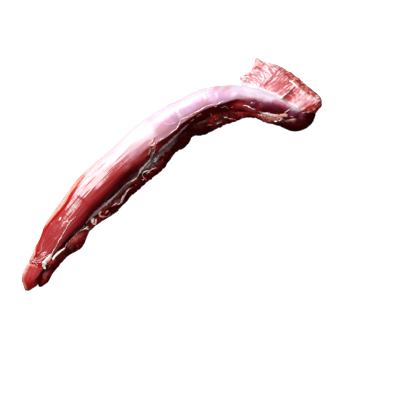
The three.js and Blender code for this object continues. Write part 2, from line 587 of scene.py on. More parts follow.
@dataclass(frozen=True)
class LoinFinish:
    """Red lean with lengthwise fibres, a streaky white veil on it, and pearly silverskin over all."""

    bright: Colour = (0.35, 0.044, 0.046)
    deep: Colour = (0.24, 0.012, 0.014)
    # Painted shade: the next two tones darken the lean where the dark mask is.
    middle: Colour = (0.21, 0.0065, 0.0085)
    darkest_shade: Colour = (0.046, 0.0001, 0.0002)
    flush: Colour = (0.33, 0.0045, 0.004)
    milk: Colour = (0.49, 0.375, 0.40)
    veil: Colour = (0.55, 0.385, 0.40)
    lip: Colour = (0.60, 0.365, 0.33)
    amber: Colour = (0.70, 0.13, 0.055)
    blush: Colour = (0.38, 0.165, 0.20)
    lavender: Colour = (0.40, 0.265, 0.40)
    mauve: Colour = (0.20, 0.048, 0.074)
    pearl: Colour = (0.52, 0.50, 0.525)
    plum: Colour = (0.165, 0.030, 0.075)
    fibres: Pattern = Pattern(24, 1.5, 3.0, 0.55)
    streaks: Pattern = Pattern(26, 1.1, 2.5, 0.6)
    threads: Pattern = Pattern(6, 0.45, 2.0, 0.6)
    ribs: Pattern = Pattern(1.2, 9, 2.0, 0.6)
    lilacs: Pattern = Pattern(18, 5)
    clouds: Pattern = Pattern(17, None, 3.0, 0.55)
    blotches: Pattern = Pattern(4.5, None, 3.0, 0.6)
    wetness: Wetness = Wetness(coat=0.3, coat_roughness=0.18, specular=0.16)

    def make(self) -> bpy.types.Material:
        """Builds the material: lean, then the veil in streaks, the pale lip, then the silverskin."""
        bench = Bench("loin_muscle")
        fibre, streak, thread, rib, lilac, cloud, blotch = (
            bench.noise(pattern)
            for pattern in (
                self.fibres, self.streaks, self.threads, self.ribs, self.lilacs, self.clouds, self.blotches
            )
        )
        net = bench.maths("MULTIPLY", bench.ramp(streak, 0.36, 0.6), bench.ramp(rib, 0.3, 0.52, 0.5, 1.0))
        lean = self._lean(bench, fibre, cloud)
        colour = bench.blend(self._covered(bench, "veil", net, 0.43, 0.76), lean, self.veil)
        amber = bench.maths("MAXIMUM", bench.ramp(blotch, 0.45, 0.66, 0.0, 0.6), bench.mask("amber"))
        lip = bench.blend(amber, self.lip, self.amber)
        colour = bench.blend(self._covered(bench, "lip", streak, 0.40, 0.75), colour, lip)
        skin = self._skin(bench, streak, lilac, cloud, blotch)
        colour = bench.blend(self._covered(bench, "silver", blotch, 0.25, 0.85), colour, skin)
        silver = bench.mask("silver")
        bare = bench.maths("SUBTRACT", 1.0, bench.maths("MULTIPLY", silver, 0.8))
        normal = bench.raised(
            (bench.maths("MULTIPLY", fibre, bare), 0.5),
            (bench.maths("MULTIPLY", thread, bare), 0.12),
            (bench.maths("MULTIPLY", rib, bench.mask("veil")), 0.1),
            (bench.maths("MULTIPLY", lilac, silver), 0.35),
        )
        return bench.dressed(colour, bench.ramp(thread, 0.2, 0.8, 0.22, 0.38), normal, self.wetness)

    def _lean(self, bench: Bench, fibre: Socket, cloud: Socket) -> Socket:
        """The bare meat: bright and deep fibres, deeper in clouds, red in the creases, with painted shade by
        the strap.

        Args:
            bench: Where the nodes go.
            fibre: The fibres' noise.
            cloud: The clouds' noise.

        Returns:
            The colour.
        """
        lean = bench.blend(bench.ramp(fibre, 0.25, 0.75), self.deep, self.bright)
        lean = bench.blend(bench.maths("MULTIPLY", bench.ramp(cloud, 0.5, 0.8), 0.45), lean, self.deep)
        lean = bench.painted(lean, flush=self.flush)
        # Painted shade: the lean darkens towards the middle and darkest tones where the dark mask is.
        lean = bench.blend(bench.ramp(bench.mask("dark"), 0.0, 0.55), lean, self.middle)
        lean = bench.blend(bench.ramp(bench.mask("dark"), 0.35, 1.0), lean, self.darkest_shade)
        return bench.painted(lean, plum=self.plum)

    def _skin(self, bench: Bench, streak: Socket, lilac: Socket, cloud: Socket, blotch: Socket) -> Socket:
        """The silverskin: blush and lavender clouds, mauve at its edge, milky and pearly where it is thick
        and where highlights are painted.

        Args:
            bench: Where the nodes go.
            streak: The streaks' noise.
            lilac: The lilac bands' noise.
            cloud: The clouds' noise.
            blotch: The blotches' noise.

        Returns:
            The colour.
        """
        cool = bench.maths("MULTIPLY", bench.mask("cool"), bench.ramp(cloud, 0.30, 0.60, 0.35, 1.0))
        skin = bench.blend(cool, self.blush, self.lavender)
        skin = bench.blend(bench.ramp(blotch, 0.50, 0.72, 0.0, 0.55), skin, self.blush)
        # Painted highlights ride in the milky and pearly masks: the lit side of the crown and the strip along
        # the outer edge.
        skin = bench.painted(skin, mauve=self.mauve, milk=self.milk, pearl=self.pearl)
        skin = bench.blend(bench.ramp(streak, 0.60, 0.74, 0.0, 0.35), skin, self.pearl)
        return bench.blend(bench.ramp(lilac, 0.52, 0.72, 0.0, 0.6), skin, self.lavender)

    @staticmethod
    def _covered(bench: Bench, mask: str, pattern: Socket, low: float, high: float) -> Socket:
        """How much a skin covers: all of it where its mask is 1, and broken up by a pattern where it is less.

        Args:
            bench: Where the nodes go.
            mask: The skin's mask.
            pattern: What breaks it up.
            low: The sum of 0.66 of the mask and 0.42 of the pattern from which it covers.
            high: The sum from which it covers fully.

        Returns:
            The cover, from 0 to 1.
        """
        masked = bench.maths("MULTIPLY", bench.mask(mask), 0.66)
        share = bench.maths("ADD", masked, bench.maths("MULTIPLY", pattern, 0.42))
        return bench.ramp(share, low, high)


@dataclass(frozen=True)
class StrapFinish:
    """Dark, uneven lean of the side strap, with painted shade, grey film, cream fat and bright red meat in
    places.
    """

    lean: Colour = (0.135, 0.0030, 0.0032)
    deep: Colour = (0.020, 0.0003, 0.0004)
    fresh: Colour = (0.46, 0.014, 0.012)
    film: Colour = (0.26, 0.13, 0.14)
    fat: Colour = (0.90, 0.50, 0.44)
    fleck: Colour = (0.46, 0.20, 0.18)
    bed: Colour = (0.36, 0.024, 0.018)
    plum: Colour = (0.22, 0.030, 0.075)
    clouds: Pattern = Pattern(6.5, None, 4.0, 0.6)
    crumbs: Pattern = Pattern(1.7, None, 3.0, 0.6)
    fibres: Pattern = Pattern(11, 1.1, 3.0, 0.6)
    flecks: Pattern = Pattern(4.5, 0.9, 2.0, 0.6)
    wetness: Wetness = Wetness(coat=0.07, coat_roughness=0.1, specular=0.05)

    def make(self) -> bpy.types.Material:
        """Builds the material: lean in clouds and fibres, then the fresh meat, the film and the fat."""
        bench = Bench("strap_muscle")
        cloud, crumb, fibre = (bench.noise(pattern) for pattern in (self.clouds, self.crumbs, self.fibres))
        lean = bench.blend(bench.ramp(cloud, 0.40, 0.68), self.deep, self.lean)
        lean = bench.blend(bench.ramp(fibre, 0.5, 0.75, 0.0, 0.5), lean, self.deep)
        fresh = bench.maths("MULTIPLY", bench.mask("fresh"), bench.ramp(crumb, 0.25, 0.6, 0.3, 1.0))
        lean = bench.blend(fresh, lean, self.fresh)
        # Painted shade: the deep tone where the shade mask is.
        lean = bench.painted(lean, shade=self.deep, plum=self.plum)
        flecks = bench.ramp(bench.noise(self.flecks), 0.64, 0.74, 0.0, 0.6)
        lean = bench.blend(bench.maths("SUBTRACT", flecks, bench.mask("shade")), lean, self.fleck)
        lean = bench.painted(lean, fat=self.bed)
        film = bench.maths("MULTIPLY", bench.mask("film"), bench.ramp(fibre, 0.3, 0.65, 0.35, 1.0))
        colour = bench.blend(film, lean, self.film)
        fat = bench.maths("MULTIPLY", bench.mask("fat"), bench.ramp(crumb, 0.40, 0.56))
        colour = bench.blend(fat, colour, self.fat)
        normal = bench.raised((fibre, 0.5), (crumb, 0.4))
        return bench.dressed(colour, bench.ramp(crumb, 0.2, 0.8, 0.2, 0.42), normal, self.wetness)


@dataclass(frozen=True)
class FlapFinish:
    """Pale pink head flap with white and red fibres, a blood-dark cut and a coarse brown-red rim."""

    pink: Colour = (0.43, 0.145, 0.165)
    white: Colour = (0.58, 0.485, 0.515)
    red: Colour = (0.31, 0.030, 0.026)
    fresh: Colour = (0.34, 0.010, 0.008)
    rim: Colour = (0.25, 0.032, 0.028)
    knob: Colour = (0.46, 0.165, 0.145)
    # Painted shade: the tone of the underside and the rim's hollows, also laid past the foot.
    under: Colour = (0.13, 0.0016, 0.0016)
    clouds: Pattern = Pattern(7, None, 3.0, 0.55)
    crumbs: Pattern = Pattern(1.5, None, 3.0, 0.6)
    fibres: Pattern = Pattern(9, 0.8, 3.0, 0.6)
    knobs: Pattern = Pattern(2.6, None, 2.0, 0.65)
    wetness: Wetness = Wetness(coat=0.12, coat_roughness=0.12, specular=0.08)

    def make(self) -> bpy.types.Material:
        """Builds the material: pink, then white and red streaks, the rim, the blood, the painted shade
        underneath.
        """
        bench = Bench("flap_muscle")
        cloud, crumb, fibre, knob = (
            bench.noise(pattern) for pattern in (self.clouds, self.crumbs, self.fibres, self.knobs)
        )
        colour = bench.blend(bench.ramp(cloud, 0.5, 0.8, 0.0, 0.7), self.pink, self.white)
        streak = bench.maths("MULTIPLY", bench.mask("streak"), bench.ramp(fibre, 0.3, 0.6, 0.6, 1.0))
        colour = bench.blend(streak, colour, self.red)
        fibrous = bench.maths("SUBTRACT", 1.0, bench.mask("smooth"))
        strands = bench.maths("MULTIPLY", fibrous, bench.ramp(fibre, 0.60, 0.74, 0.0, 0.4))
        colour = bench.blend(bench.maths("ADD", bench.mask("pale"), strands), colour, self.white)
        coarse = bench.blend(bench.ramp(knob, 0.44, 0.60), self.rim, self.knob)
        colour = bench.blend(bench.mask("rim"), colour, coarse)
        colour = bench.painted(colour, fresh=self.fresh, dark=self.under, fat=self.white)
        normal = bench.raised((bench.maths("MULTIPLY", fibre, fibrous), 0.45), (crumb, 0.3))
        return bench.dressed(colour, bench.ramp(crumb, 0.2, 0.8, 0.3, 0.55), normal, self.wetness)


@dataclass(frozen=True)
class SinewFinish:
    """Moist connective tissue: one tone with a second in clouds along it, and fine lengthwise lines.

    Attributes:
        name: The material's name.
        tone: The main colour.
        cloud: The second colour.
        rim: The colour of its edges.
        depth: How much light goes in.
        clouded: How strong the clouds are.
        clouds: The clouds' noise.
        lines: The lines' noise.
    """

    name: str
    tone: Colour
    cloud: Colour
    rim: Colour
    depth: float = 0.35
    clouded: float = 1.0
    clouds: Pattern = Pattern(3.2, None, 3.0, 0.6)
    lines: Pattern = Pattern(8, 0.5, 2.0, 0.55)

    def make(self) -> bpy.types.Material:
        """Builds the material."""
        bench = Bench(self.name)
        cloud, line = bench.noise(self.clouds), bench.noise(self.lines)
        share = bench.maths("MAXIMUM", bench.ramp(cloud, 0.45, 0.72, 0.0, self.clouded), bench.mask("pale"))
        colour = bench.blend(share, self.tone, self.cloud)
        colour = bench.blend(bench.ramp(line, 0.55, 0.75, 0.0, 0.4), colour, self.cloud)
        colour = bench.blend(bench.ramp(bench.mask("rim"), 0.2, 0.95), colour, self.rim)
        normal = bench.raised((line, 0.15), (cloud, 0.25))
        wetness = Wetness(coat=0.5, depth=self.depth, scale=1.5)
        return bench.dressed(colour, bench.ramp(line, 0.2, 0.8, 0.22, 0.4), normal, wetness)


# ---- the three muscles -------------------------------------------------------------------------------------


@dataclass(frozen=True)
class Layer:
    """One layer of relief: noise in the piece's own grain.

    Attributes:
        seed: Which noise it is.
        pitch: The noise's feature size along the grain and across it, in millimetres.
        height: How far it pushes the surface out, in millimetres.
        layers: How many times it is refined.
        sharp: Whether it is folded into thin valleys between round lobes.
    """

    seed: int
    pitch: tuple[float, float]
    height: float
    layers: int = 2
    sharp: bool = False

    def over(self, grain: Array) -> Array:
        """The push at every point of a grain."""
        along, side, up = np.moveaxis(grain, -1, 0)
        step, pace = self.pitch
        noise = Noise(self.seed).layered(along / step, side / pace, up / pace, layers=self.layers)
        return self.height * (1.0 - 2.0 * bump(noise, VALLEY) if self.sharp else noise)


@dataclass(frozen=True)
class Patch:
    """A soft oval patch of the plan: a bell curve of the distance from its middle, measured in reaches."""

    middle_x: float
    middle_y: float
    reach_x: float
    reach_y: float
    strength: float = 1.0

    def over(self, x: Array, y: Array) -> Array:
        """The patch's strength at every point."""
        across = (x - self.middle_x) / self.reach_x
        along = (y - self.middle_y) / self.reach_y
        return self.strength * np.exp(-(across**2 + along**2))


def patches(*rows: Sequence[float]) -> tuple[Patch, ...]:
    """Patches from rows of their middle's x and y, their reach in x and in y, and their strength."""
    return tuple(Patch(*row) for row in rows)


def creases(*lines: Sequence[Pair]) -> tuple[PlanPath, ...]:
    """Short lines of the plan, each through a few spots."""
    return tuple(PlanPath(line, 12) for line in lines)


def patched(spots: Sequence[Patch], x: Array, y: Array) -> Array:
    """The strongest of several patches at every point."""
    return np.max([patch.over(x, y) for patch in spots], axis=0)


@dataclass(frozen=True)
class Muscle:
    """A muscle's plain form: an egg-shaped section carried along the line through its stations.

    Attributes:
        stations: x, y, half width and height of the section, from the tail to the head.
        swell: How much the section is pushed in or out as it goes round, as a share of its size.
        phase: Where those waves start.
        rows: How many rings there are.
        columns: How many points each ring has.
        girth: The radius that its grain is laid round on.
        fullness: The powers that make the section fuller than an ellipse, across and up.
        widest_at: The share of its height at which the section is widest.
        end_widest_at: How far down that is where it has closed at an end.
        bluntness: The section is full once the sine of its place along is over one part in this many.
        crowding: How much the rings crowd towards the ends.
        waves: Each wave's radians along the muscle, turns round it, strength, and share of the phase.
    """

    stations: tuple[Spot, ...]
    swell: float
    phase: float
    rows: int
    columns: int
    girth: float = 15.0
    fullness: Pair = (0.92, 0.9)
    widest_at: float = 0.46
    end_widest_at: float = 0.4
    bluntness: float = 3.2
    crowding: float = 0.35
    waves: tuple[Spot, ...] = ((23, 2, 1, 1), (41, -3, 0.7, 2), (67, 1, 0.5, 3))

    def shell(self) -> Shell:
        """Works the form out.

        The centre line and the size come from splines through the stations. A point of the ring at an
        angle lies across the line by half the width times the cosine, and up by the height times the sine,
        both raised to a power just under one, so that the section is fuller than an ellipse. Three sine
        waves that climb round the muscle swell it, and it closes to a point at both ends.

        Returns:
            The closed surface.
        """
        half_turn = math.pi * np.linspace(0.0, 1.0, self.rows + 2)[1:-1, None]
        angle = (np.arange(self.columns) / self.columns * 2.0 - 0.5)[None, :] * math.pi
        share = 0.5 - 0.5 * np.cos(half_turn) * (1.0 - self.crowding * np.sin(half_turn) ** 2)
        line = [station[:2] for station in self.stations]
        centre = spline(line, share[:, 0])
        half, height = spline([station[2:] for station in self.stations], share[:, 0]).T[..., None]
        step = 1e-4
        heading = unit(spline(line, share[:, 0] + step) - spline(line, share[:, 0] - step))
        closing = np.minimum(1.0, np.sin(half_turn) * self.bluntness) ** 0.5
        swelling = sum(
            strength * np.sin(along * share + around * angle + phases * self.phase)
            for along, around, strength, phases in self.waves
        )
        fullness = closing * (1.0 + self.swell * swelling)
        across = half * fullness * signed_power(np.cos(angle), self.fullness[0])
        middle = height * self.widest_at
        rise = np.where(np.sin(angle) > 0.0, height - middle, middle + SETTLE)
        foot = middle * (self.end_widest_at + (1.0 - self.end_widest_at) * closing)
        up = foot + rise * fullness * signed_power(np.sin(angle), self.fullness[1])
        rings = [centre[:, :1] + across * heading[:, 1:], centre[:, 1:] - across * heading[:, :1], up]
        steps = np.linalg.norm(np.diff(centre, axis=0), axis=1)
        arc = np.concatenate([[0.0], np.cumsum(steps)])[:, None]
        grain = np.broadcast_arrays(arc, self.girth * np.cos(angle), self.girth * np.sin(angle))
        return Shell(np.stack(rings, -1), np.stack(grain, -1))


@dataclass
class Loin:
    """The long main muscle: its silverskin, the crease of its tail half and the hollow below the skin's edge.

    A run says where something starts along x and where it is full, and with four numbers also where it starts
    to fade and where it has gone.
    """

    muscle: Muscle = Muscle(
        stations=(
            (-191, -38.6, 4, 8), (-180, -31.2, 9.4, 13), (-166, -22.2, 8.6, 14.5), (-148, -12.8, 10.8, 18),
            (-126, -3.8, 14.4, 22.5), (-102, 3.2, 16.4, 26), (-76, 10, 17.8, 29), (-48, 14.8, 17.8, 31),
            (-20, 20, 17.6, 32), (8, 23.2, 16.8, 31.5), (36, 22.8, 15.6, 30.5), (62, 19.4, 15.6, 29.5),
            (84, 11.6, 14.8, 28), (102, -1.3, 13.4, 26), (115.8, -16.4, 11.4, 23.5),
            (127.8, -32.2, 9.2, 21), (141, -45, 5.4, 15),
        ),
        swell=0.022,
        phase=0.6,
        rows=430,
        columns=230,
    )
    skin_edge: PlanPath = PlanPath((
        (-30, 8), (-20, 11), (-8, 13), (5, 12.2), (18, 12.8), (30, 15), (45, 15.4), (60, 14.6), (70, 12),
        (85, 8), (96, 3.6), (105.6, -3.6), (115, -12.2), (121.8, -16.8), (127.4, -22), (130.4, -27.6),
        (132, -33), (136, -38),
    ))
    crease: PlanPath = PlanPath((
        (-171, -18.6), (-162, -15.6), (-154, -6.6), (-143, 0.8), (-131, 4.2), (-120, 7.4), (-108, 11),
        (-98, 16.2), (-90, 20.4), (-82, 24.4), (-72, 27.4), (-62, 29.6),
    ))
    waist: PlanPath = PlanPath(((-175, -14), (-171, -18.4), (-167, -22.5), (-164, -30)))
    ridge: PlanPath = PlanPath((
        (-160, -29), (-148, -25), (-135, -19.5), (-120, -12.6), (-105, -8), (-90, -2), (-75, 0.8), (-60, 4),
        (-48, 7), (-38, 9), (-28, 8.6), (-18, 7.4),
    ))
    # A painted highlight: the whitest strip along the loin's outer edge by the flap, laid in the pearly mask.
    sheen: PlanPath = PlanPath(((100, 19), (110, 11), (118, 2), (126, -10), (133, -24), (138, -34)))
    veil_edge: PlanPath = PlanPath((
        (-122, -3), (-112, -1.6), (-104, 0.4), (-97, 3.8), (-90, 6.8), (-82, 8.2), (-76, 7.4), (-68, 7.8),
        (-60, 11.4), (-52, 14), (-40, 15.6), (-22, 17), (-5, 18),
    ))
    gap: PlanPath = PlanPath(((-94.4, 13.4), (-93.4, 10.6), (-91.4, 6.4), (-90.4, 2), (-89, -4)))
    lobe: PlanPath = PlanPath(((84, 1), (90, -0.8), (94, -5), (96, -9.4), (99.6, -13.6), (103, -19)))
    blushes: tuple[PlanPath, ...] = creases(
        ((29.6, 19), (30, 26), (31.6, 32)), ((39.6, 18), (39.4, 25), (38.6, 31)),
        ((-3, 19), (-6.6, 23), (-4, 26)),
    )
    wrinkles: tuple[PlanPath, ...] = creases(
        ((28, 21), (29, 26), (31, 33)), ((33.6, 21), (34.4, 27), (36, 34)),
        ((39.6, 20), (39.2, 26), (38, 32)), ((61, 19), (63.6, 25), (65, 31)),
        ((66, 18), (67.6, 25), (70.6, 31)), ((73, 15), (75, 21), (78, 27)),
        ((81, 12.6), (84, 18), (88, 23)), ((-6.4, 20), (-7.6, 24), (-6.6, 28.4)),
    )
    spots: tuple[Patch, ...] = patches(
        (-121.4, 2.4, 2.4, 1.1), (-111, 6.2, 1.4, 1.8, 0.9), (-109.6, 2.6, 1.6, 1.2, 0.8),
        (-135.6, -10.6, 3.4, 1.2, 0.62), (-130, 3.4, 4, 1.6, 0.5), (-155, -17.6, 4.4, 2.2, 0.75),
        (-162, -20, 5, 2.6, 0.7), (-167, -17, 3.4, 2.2, 0.8), (-116, -0.4, 5, 2.4, 0.5),
        (-118.6, -5, 7, 3, 0.72), (-131, -3, 14, 5, 0.24), (-178, -26, 5, 4, 0.2),
        # The last two spots, on the head's flank at x 101.4 and 108, are painted glints.
        (101.4, -4.6, 1.2, 0.7, 0.8), (108, -10.6, 1.6, 0.8, 0.4),
    )
    pearls: tuple[Patch, ...] = patches(
        (34.6, 27, 1.7, 5, 0.8), (66, 26, 1.2, 3.4, 0.9), (69.6, 28, 1.0, 2.6, 0.8), (-1, 26, 7, 3.4, 0.8),
        (50, 30, 9, 3, 0.5), (91, 12, 5, 2.6, 0.75), (70, 20, 4, 2.2, 0.3), (100, 9, 5, 3, 0.5),
    )
    pinks: tuple[Patch, ...] = patches((79, 26, 6.4, 2.8, 0.95), (88.6, 20.6, 6, 2.8, 0.9))
    rosy: tuple[Patch, ...] = patches((30, 23, 3, 3.4, 0.42), (40, 24, 2.4, 3.4, 0.25), (85, 22.6, 8, 3, 0.2))
    plums: tuple[Patch, ...] = patches(
        (131.6, -34.6, 5, 3.8), (122, -21, 7, 3, 0.15), (102, -4, 6, 4, 0.4), (111, -12, 5, 3, 0.35),
        (127.4, -25, 2.6, 4, 0.55),
    )
    # Spots where the painted shade is lifted.
    shade_gaps: tuple[Patch, ...] = patches((87, 0, 7, 3.4, 0.45), (107, -12, 5, 2.4, 0.42), (99, 0, 4, 2.4, 0.4))
    tip: Patch = Patch(-190.6, -31, 4.4, 8, 1.1)
    root: Patch = Patch(-184, -35, 8, 5.4, 1.1)
    lumps: Layer = Layer(3, (26, 13), 0.55)
    bundles: Layer = Layer(7, (34, 5.5), 0.42)
    fibres: Layer = Layer(5, (22, 1.9), 0.18)
    folds: Layer = Layer(13, (6.5, 26), 0.34)
    cords: Layer = Layer(19, (30, 3.4), 0.14)
    ragged: Layer = Layer(11, (6, 3), 1.0, 3)
    streaks: Layer = Layer(15, (26, 1.3), 1.0)
    blocks: Layer = Layer(17, (3.5, 14), 1.0)
    crease_run: Run = (0.0, 0.08, 0.87, 0.98)
    crease_bulge_run: Run = (-57, -68)
    lip_run: Run = (-62, -78)
    thin_lip_run: Run = (-100, -90)
    tip_lip_run: Run = (-166, -176)
    amber_run: Run = (-152, -145, -80, -68)
    wide_flush_run: Run = (-78, -90)
    cool_run: Run = (-4, 30)
    pearl_run: Run = (88, 108)
    mauve_run: Run = (0, 22, 94, 106)
    deep_mauve_run: Run = (22, 34, 66, 74)
    milk_run: Run = (8, 2)
    milky_side_run: Run = (108, 96)
    plum_run: Run = (100, 110, 126, 134)
    soft_edge_run: Run = (84, 98)
    faint_edge_run: Run = (6, -12)
    skin_run: Run = (-52, -12)
    veil_run: Run = (-125, -102)
    thin_veil_run: Run = (-92, -99)
    streaky_veil_run: Run = (-46, -66)
    wide_veil_run: Run = (-68, -48)
    crease_veil_run: Run = (-70, -86)
    press_run: Run = (-176, -160, -118, -90)
    fold_run: Run = (10, 30, 85, 100)
    ledge_run: Run = (98, 82)

    def sculpted(self) -> Shell:
        """The muscle with its relief and its masks."""
        shell = self.muscle.shell()
        self._flatten_tail(shell)
        x, y, _ = np.moveaxis(shell.rings, -1, 0)
        facing = shell.facing()[..., 2]
        upper = ramp(facing, -0.15, 0.35)
        edge, edge_share = self.skin_edge.from_points(x, y)
        crease, crease_share = self.crease.from_points(x, y)
        silver = self._silver(shell, edge)
        run = stretch(crease_share, *self.crease_run) * upper
        groove = bump(crease, 1.25) * run
        waist = self.waist.near(x, y, 1.7) * upper
        gap = self.gap.near(x, y, 2.0, 0.16)
        relief = self._relief(shell, silver) - 1.7 * groove - 1.3 * waist
        relief += 0.75 * bump(crease - 3.2, 2.2) * ramp(x, *self.crease_bulge_run) * upper
        relief += self._ledge(x, edge, edge_share) * upper
        shell.pushed(relief)
        shell.settled()
        flush_width = np.where(crease > 0.0, 1.3, 1.3 + 0.7 * ramp(x, *self.wide_flush_run))
        flush = bump(crease, flush_width) * run + waist + 0.6 * gap + self.root.over(x, y)
        plum = 0.55 * bump(edge + 1.4, 2.8) * stretch(x, *self.plum_run)
        amber = 0.85 * ramp(crease, 4.4, 1.2) * stretch(x, *self.amber_run)
        shell.masks = {
            "silver": silver,
            "mauve": self._mauve(shell, x, y, edge),
            **self._sheens(shell, x, y),
            "veil": self._veil(shell, x, y, crease) * ramp(facing, -0.7, -0.25) * (1.0 - 0.85 * gap),
            "lip": self._lip(shell, x, y, crease),
            "amber": np.maximum(self.tip.over(x, y), amber),
            "flush": np.clip(flush, 0, 1),
            "plum": np.maximum(patched(self.plums, x, y), plum),
            # Painted shade on the lean, lifted in the crease's groove.
            "dark": self._painted_shade(shell, x, y, edge) * (1.0 - 0.7 * groove),
        }
        return shell

    @staticmethod
    def _lean_over(shell: Shell) -> Array:
        """How far round a point lies: -1 at the strap, 0 on top, 1 at the bowed side."""
        return -shell.grain[..., 1] / np.hypot(shell.grain[..., 1], shell.grain[..., 2])

    def _silver(self, shell: Shell, edge: Array) -> Array:
        """How much silverskin covers the meat: all of it above the edge, which is soft towards the head.

        Args:
            shell: The muscle.
            edge: How far each point lies above the skin's edge.

        Returns:
            The cover, from 0 to 1.
        """
        x, y, _ = np.moveaxis(shell.rings, -1, 0)
        _, side, up = np.moveaxis(shell.grain, -1, 0)
        ragged = self.ragged.over(shell.grain)
        round_side = np.cos(np.arctan2(up, -side) - math.radians(60))
        soft = ramp(x, *self.soft_edge_run)
        faint = ramp(x, *self.faint_edge_run)
        crisp = ramp(edge + 0.8 * ragged, -0.3, 1.2)
        cover = crisp * (1 - soft) + ramp(edge + 1.6 * ragged, -4.0, 6.0) * soft
        cover = cover * (1 - faint) + ramp(edge + ragged, -5, 8) * faint
        cover *= 1.0 - 0.3 * sum(fold.near(x, y, 1.5, 0.4) for fold in self.blushes)
        return cover * ramp(x + 5 * ragged, *self.skin_run) * ramp(round_side + 0.1 * ragged, -0.75, -0.3)

    def _mauve(self, shell: Shell, x: Array, y: Array, edge: Array) -> Array:
        """How mauve the silverskin is: in a band along its edge that the folds break up, and in rosy spots.

        Args:
            shell: The muscle.
            x: The points' x.
            y: The points' y.
            edge: How far each point lies above the skin's edge.

        Returns:
            The mask, from 0 to 1.
        """
        band = bump(edge - 2.0, 3.2) * stretch(x, *self.mauve_run)
        band *= 0.6 + 0.35 * stretch(x, *self.deep_mauve_run)
        return np.maximum(band * (0.8 + 0.6 * self.folds.over(shell.grain)), patched(self.rosy, x, y))

    def _sheens(self, shell: Shell, x: Array, y: Array) -> dict[str, Array]:
        """Where the silverskin is cool, pearly and milky, less so where it is pink; some milk and pearl are
        painted highlights.

        Args:
            shell: The muscle.
            x: The points' x.
            y: The points' y.

        Returns:
            The three masks by name.
        """
        over = self._lean_over(shell)
        pink = patched(self.pinks, x, y)
        level, _ = self.veil_edge.from_points(x, y)
        cords = 0.75 + 0.25 * self.cords.over(shell.grain) / self.cords.height
        pearls = [
            0.72 * ramp(x, *self.pearl_run),
            0.45 * ramp(over, 0.15, 0.7),
            patched(self.pearls, x, y),
            self.sheen.near(x, y, 4.4, 0.1),
        ]
        milky_side = 0.85 * ramp(over, 0.72, 0.95) * ramp(x, *self.milky_side_run) * (1.0 - 0.8 * pink)
        return {
            "cool": ramp(x, *self.cool_run) * (1.0 - 0.8 * pink),
            "pearl": np.maximum.reduce(pearls) * (1.0 - 0.9 * pink),
            "milk": np.maximum(0.95 * ramp(level, 0.6, 3.4) * ramp(x, *self.milk_run) * cords, milky_side),
        }

    def _lip(self, shell: Shell, x: Array, y: Array, crease: Array) -> Array:
        """Where the pale lip lies: beyond the crease, at the tip, and on the bowed side near it.

        Args:
            shell: The muscle.
            x: The points' x.
            y: The points' y.
            crease: How far each point lies beyond the crease.

        Returns:
            The mask, from 0 to 1, which ends raggedly low on the flank.
        """
        thin = ramp(x, *self.thin_lip_run)
        beyond = ramp(crease, 0.5 - 0.4 * thin, 2.9 - 1.0 * thin) * ramp(x, *self.lip_run)
        near_tip = 0.8 * ramp(x, *self.tip_lip_run) * ramp(self._lean_over(shell), 0.3, 0.95)
        ragged = 0.35 * self.lumps.over(shell.grain) + 0.5 * self.bundles.over(shell.grain)
        high = ramp(shell.facing()[..., 2] + ragged, 0.02, 0.36)
        return np.maximum.reduce([beyond, near_tip, self.tip.over(x, y)]) * high

    def _veil(self, shell: Shell, x: Array, y: Array, crease: Array) -> Array:
        """How thick the white film is on the tail half: streaky, thicker away from the strap, and in spots,
        two of them painted glints.

        Args:
            shell: The muscle.
            x: The points' x.
            y: The points' y.
            crease: How far each point lies beyond the crease.

        Returns:
            The mask, from 0 to 1.
        """
        level, _ = self.veil_edge.from_points(x, y)
        streaks = self.streaks.over(shell.grain)
        rise = (level + 2.2 * streaks + 1.2 * self.blocks.over(shell.grain)) / (
            5.0 + 6.5 * ramp(x, *self.wide_veil_run)
        )
        at_crease = ramp(x, *self.crease_veil_run)
        film = ramp(rise, -0.7, 1.0) * ramp(x + 4 * streaks, *self.veil_run)
        film *= 1.0 - 0.36 * ramp(x, *self.thin_veil_run)
        film *= 1.0 - (0.04 + 0.34 * ramp(streaks, -0.05, -0.5)) * ramp(x, *self.streaky_veil_run)
        film *= ramp(crease, 0.4, -2.4) * at_crease + 1.0 - at_crease
        return np.clip(np.maximum(film, patched(self.spots, x, y) * (0.8 + 0.6 * streaks)), 0, 1)

    def _painted_shade(self, shell: Shell, x: Array, y: Array, edge: Array) -> Array:
        """How much shade is painted on the lean: towards the strap, in the hollow, low on the flank above it,
        and underneath.

        Args:
            shell: The muscle.
            x: The points' x.
            y: The points' y.
            edge: How far each point lies above the skin's edge.

        Returns:
            The mask, from 0 to 1.
        """
        ridge, _ = self.ridge.from_points(x, y)
        over = self._lean_over(shell)
        facing = shell.facing()[..., 2]
        soft = ramp(x, *self.soft_edge_run)
        tail_half = ramp(ridge, 4.5, -8.5) * ramp(x, 10, -14)
        head_half = (ramp(edge, 0.4, -1.6) * (1 - soft) + ramp(edge, 4.0, -3.5) * soft) * ramp(x, -8, 6)
        head_half *= 1.0 - 0.22 * stretch(x, -10, 0, 26, 34)
        halves = np.maximum(tail_half, head_half) * ramp(over, 0.5, 0.0) * (0.25 + 0.75 * ramp(x, -185, -171))
        flank = 0.8 * ramp(facing, 0.1, -0.5) * ramp(over, 0.0, -0.5) * ramp(x, -188, -172)
        under = 0.55 * ramp(facing, -0.3, -0.8) * ramp(x, -190, -174)
        lit = (1.0 - 0.75 * self.lobe.near(x, y, 2.6, 0.2)) * (1.0 - patched(self.shade_gaps, x, y))
        return np.clip(np.maximum.reduce([halves * lit, flank * lit, under]), 0, 1)

    def _flatten_tail(self, shell: Shell) -> None:
        """Presses the tail half's crown flatter, by a share of its height over a level that follows it."""
        z = shell.rings[..., 2]
        level = z.max(axis=1, keepdims=True) * 0.8
        press = 0.45 * stretch(shell.rings[..., 0], *self.press_run)
        shell.rings[..., 2] = z - press * np.maximum(z - level, 0.0)

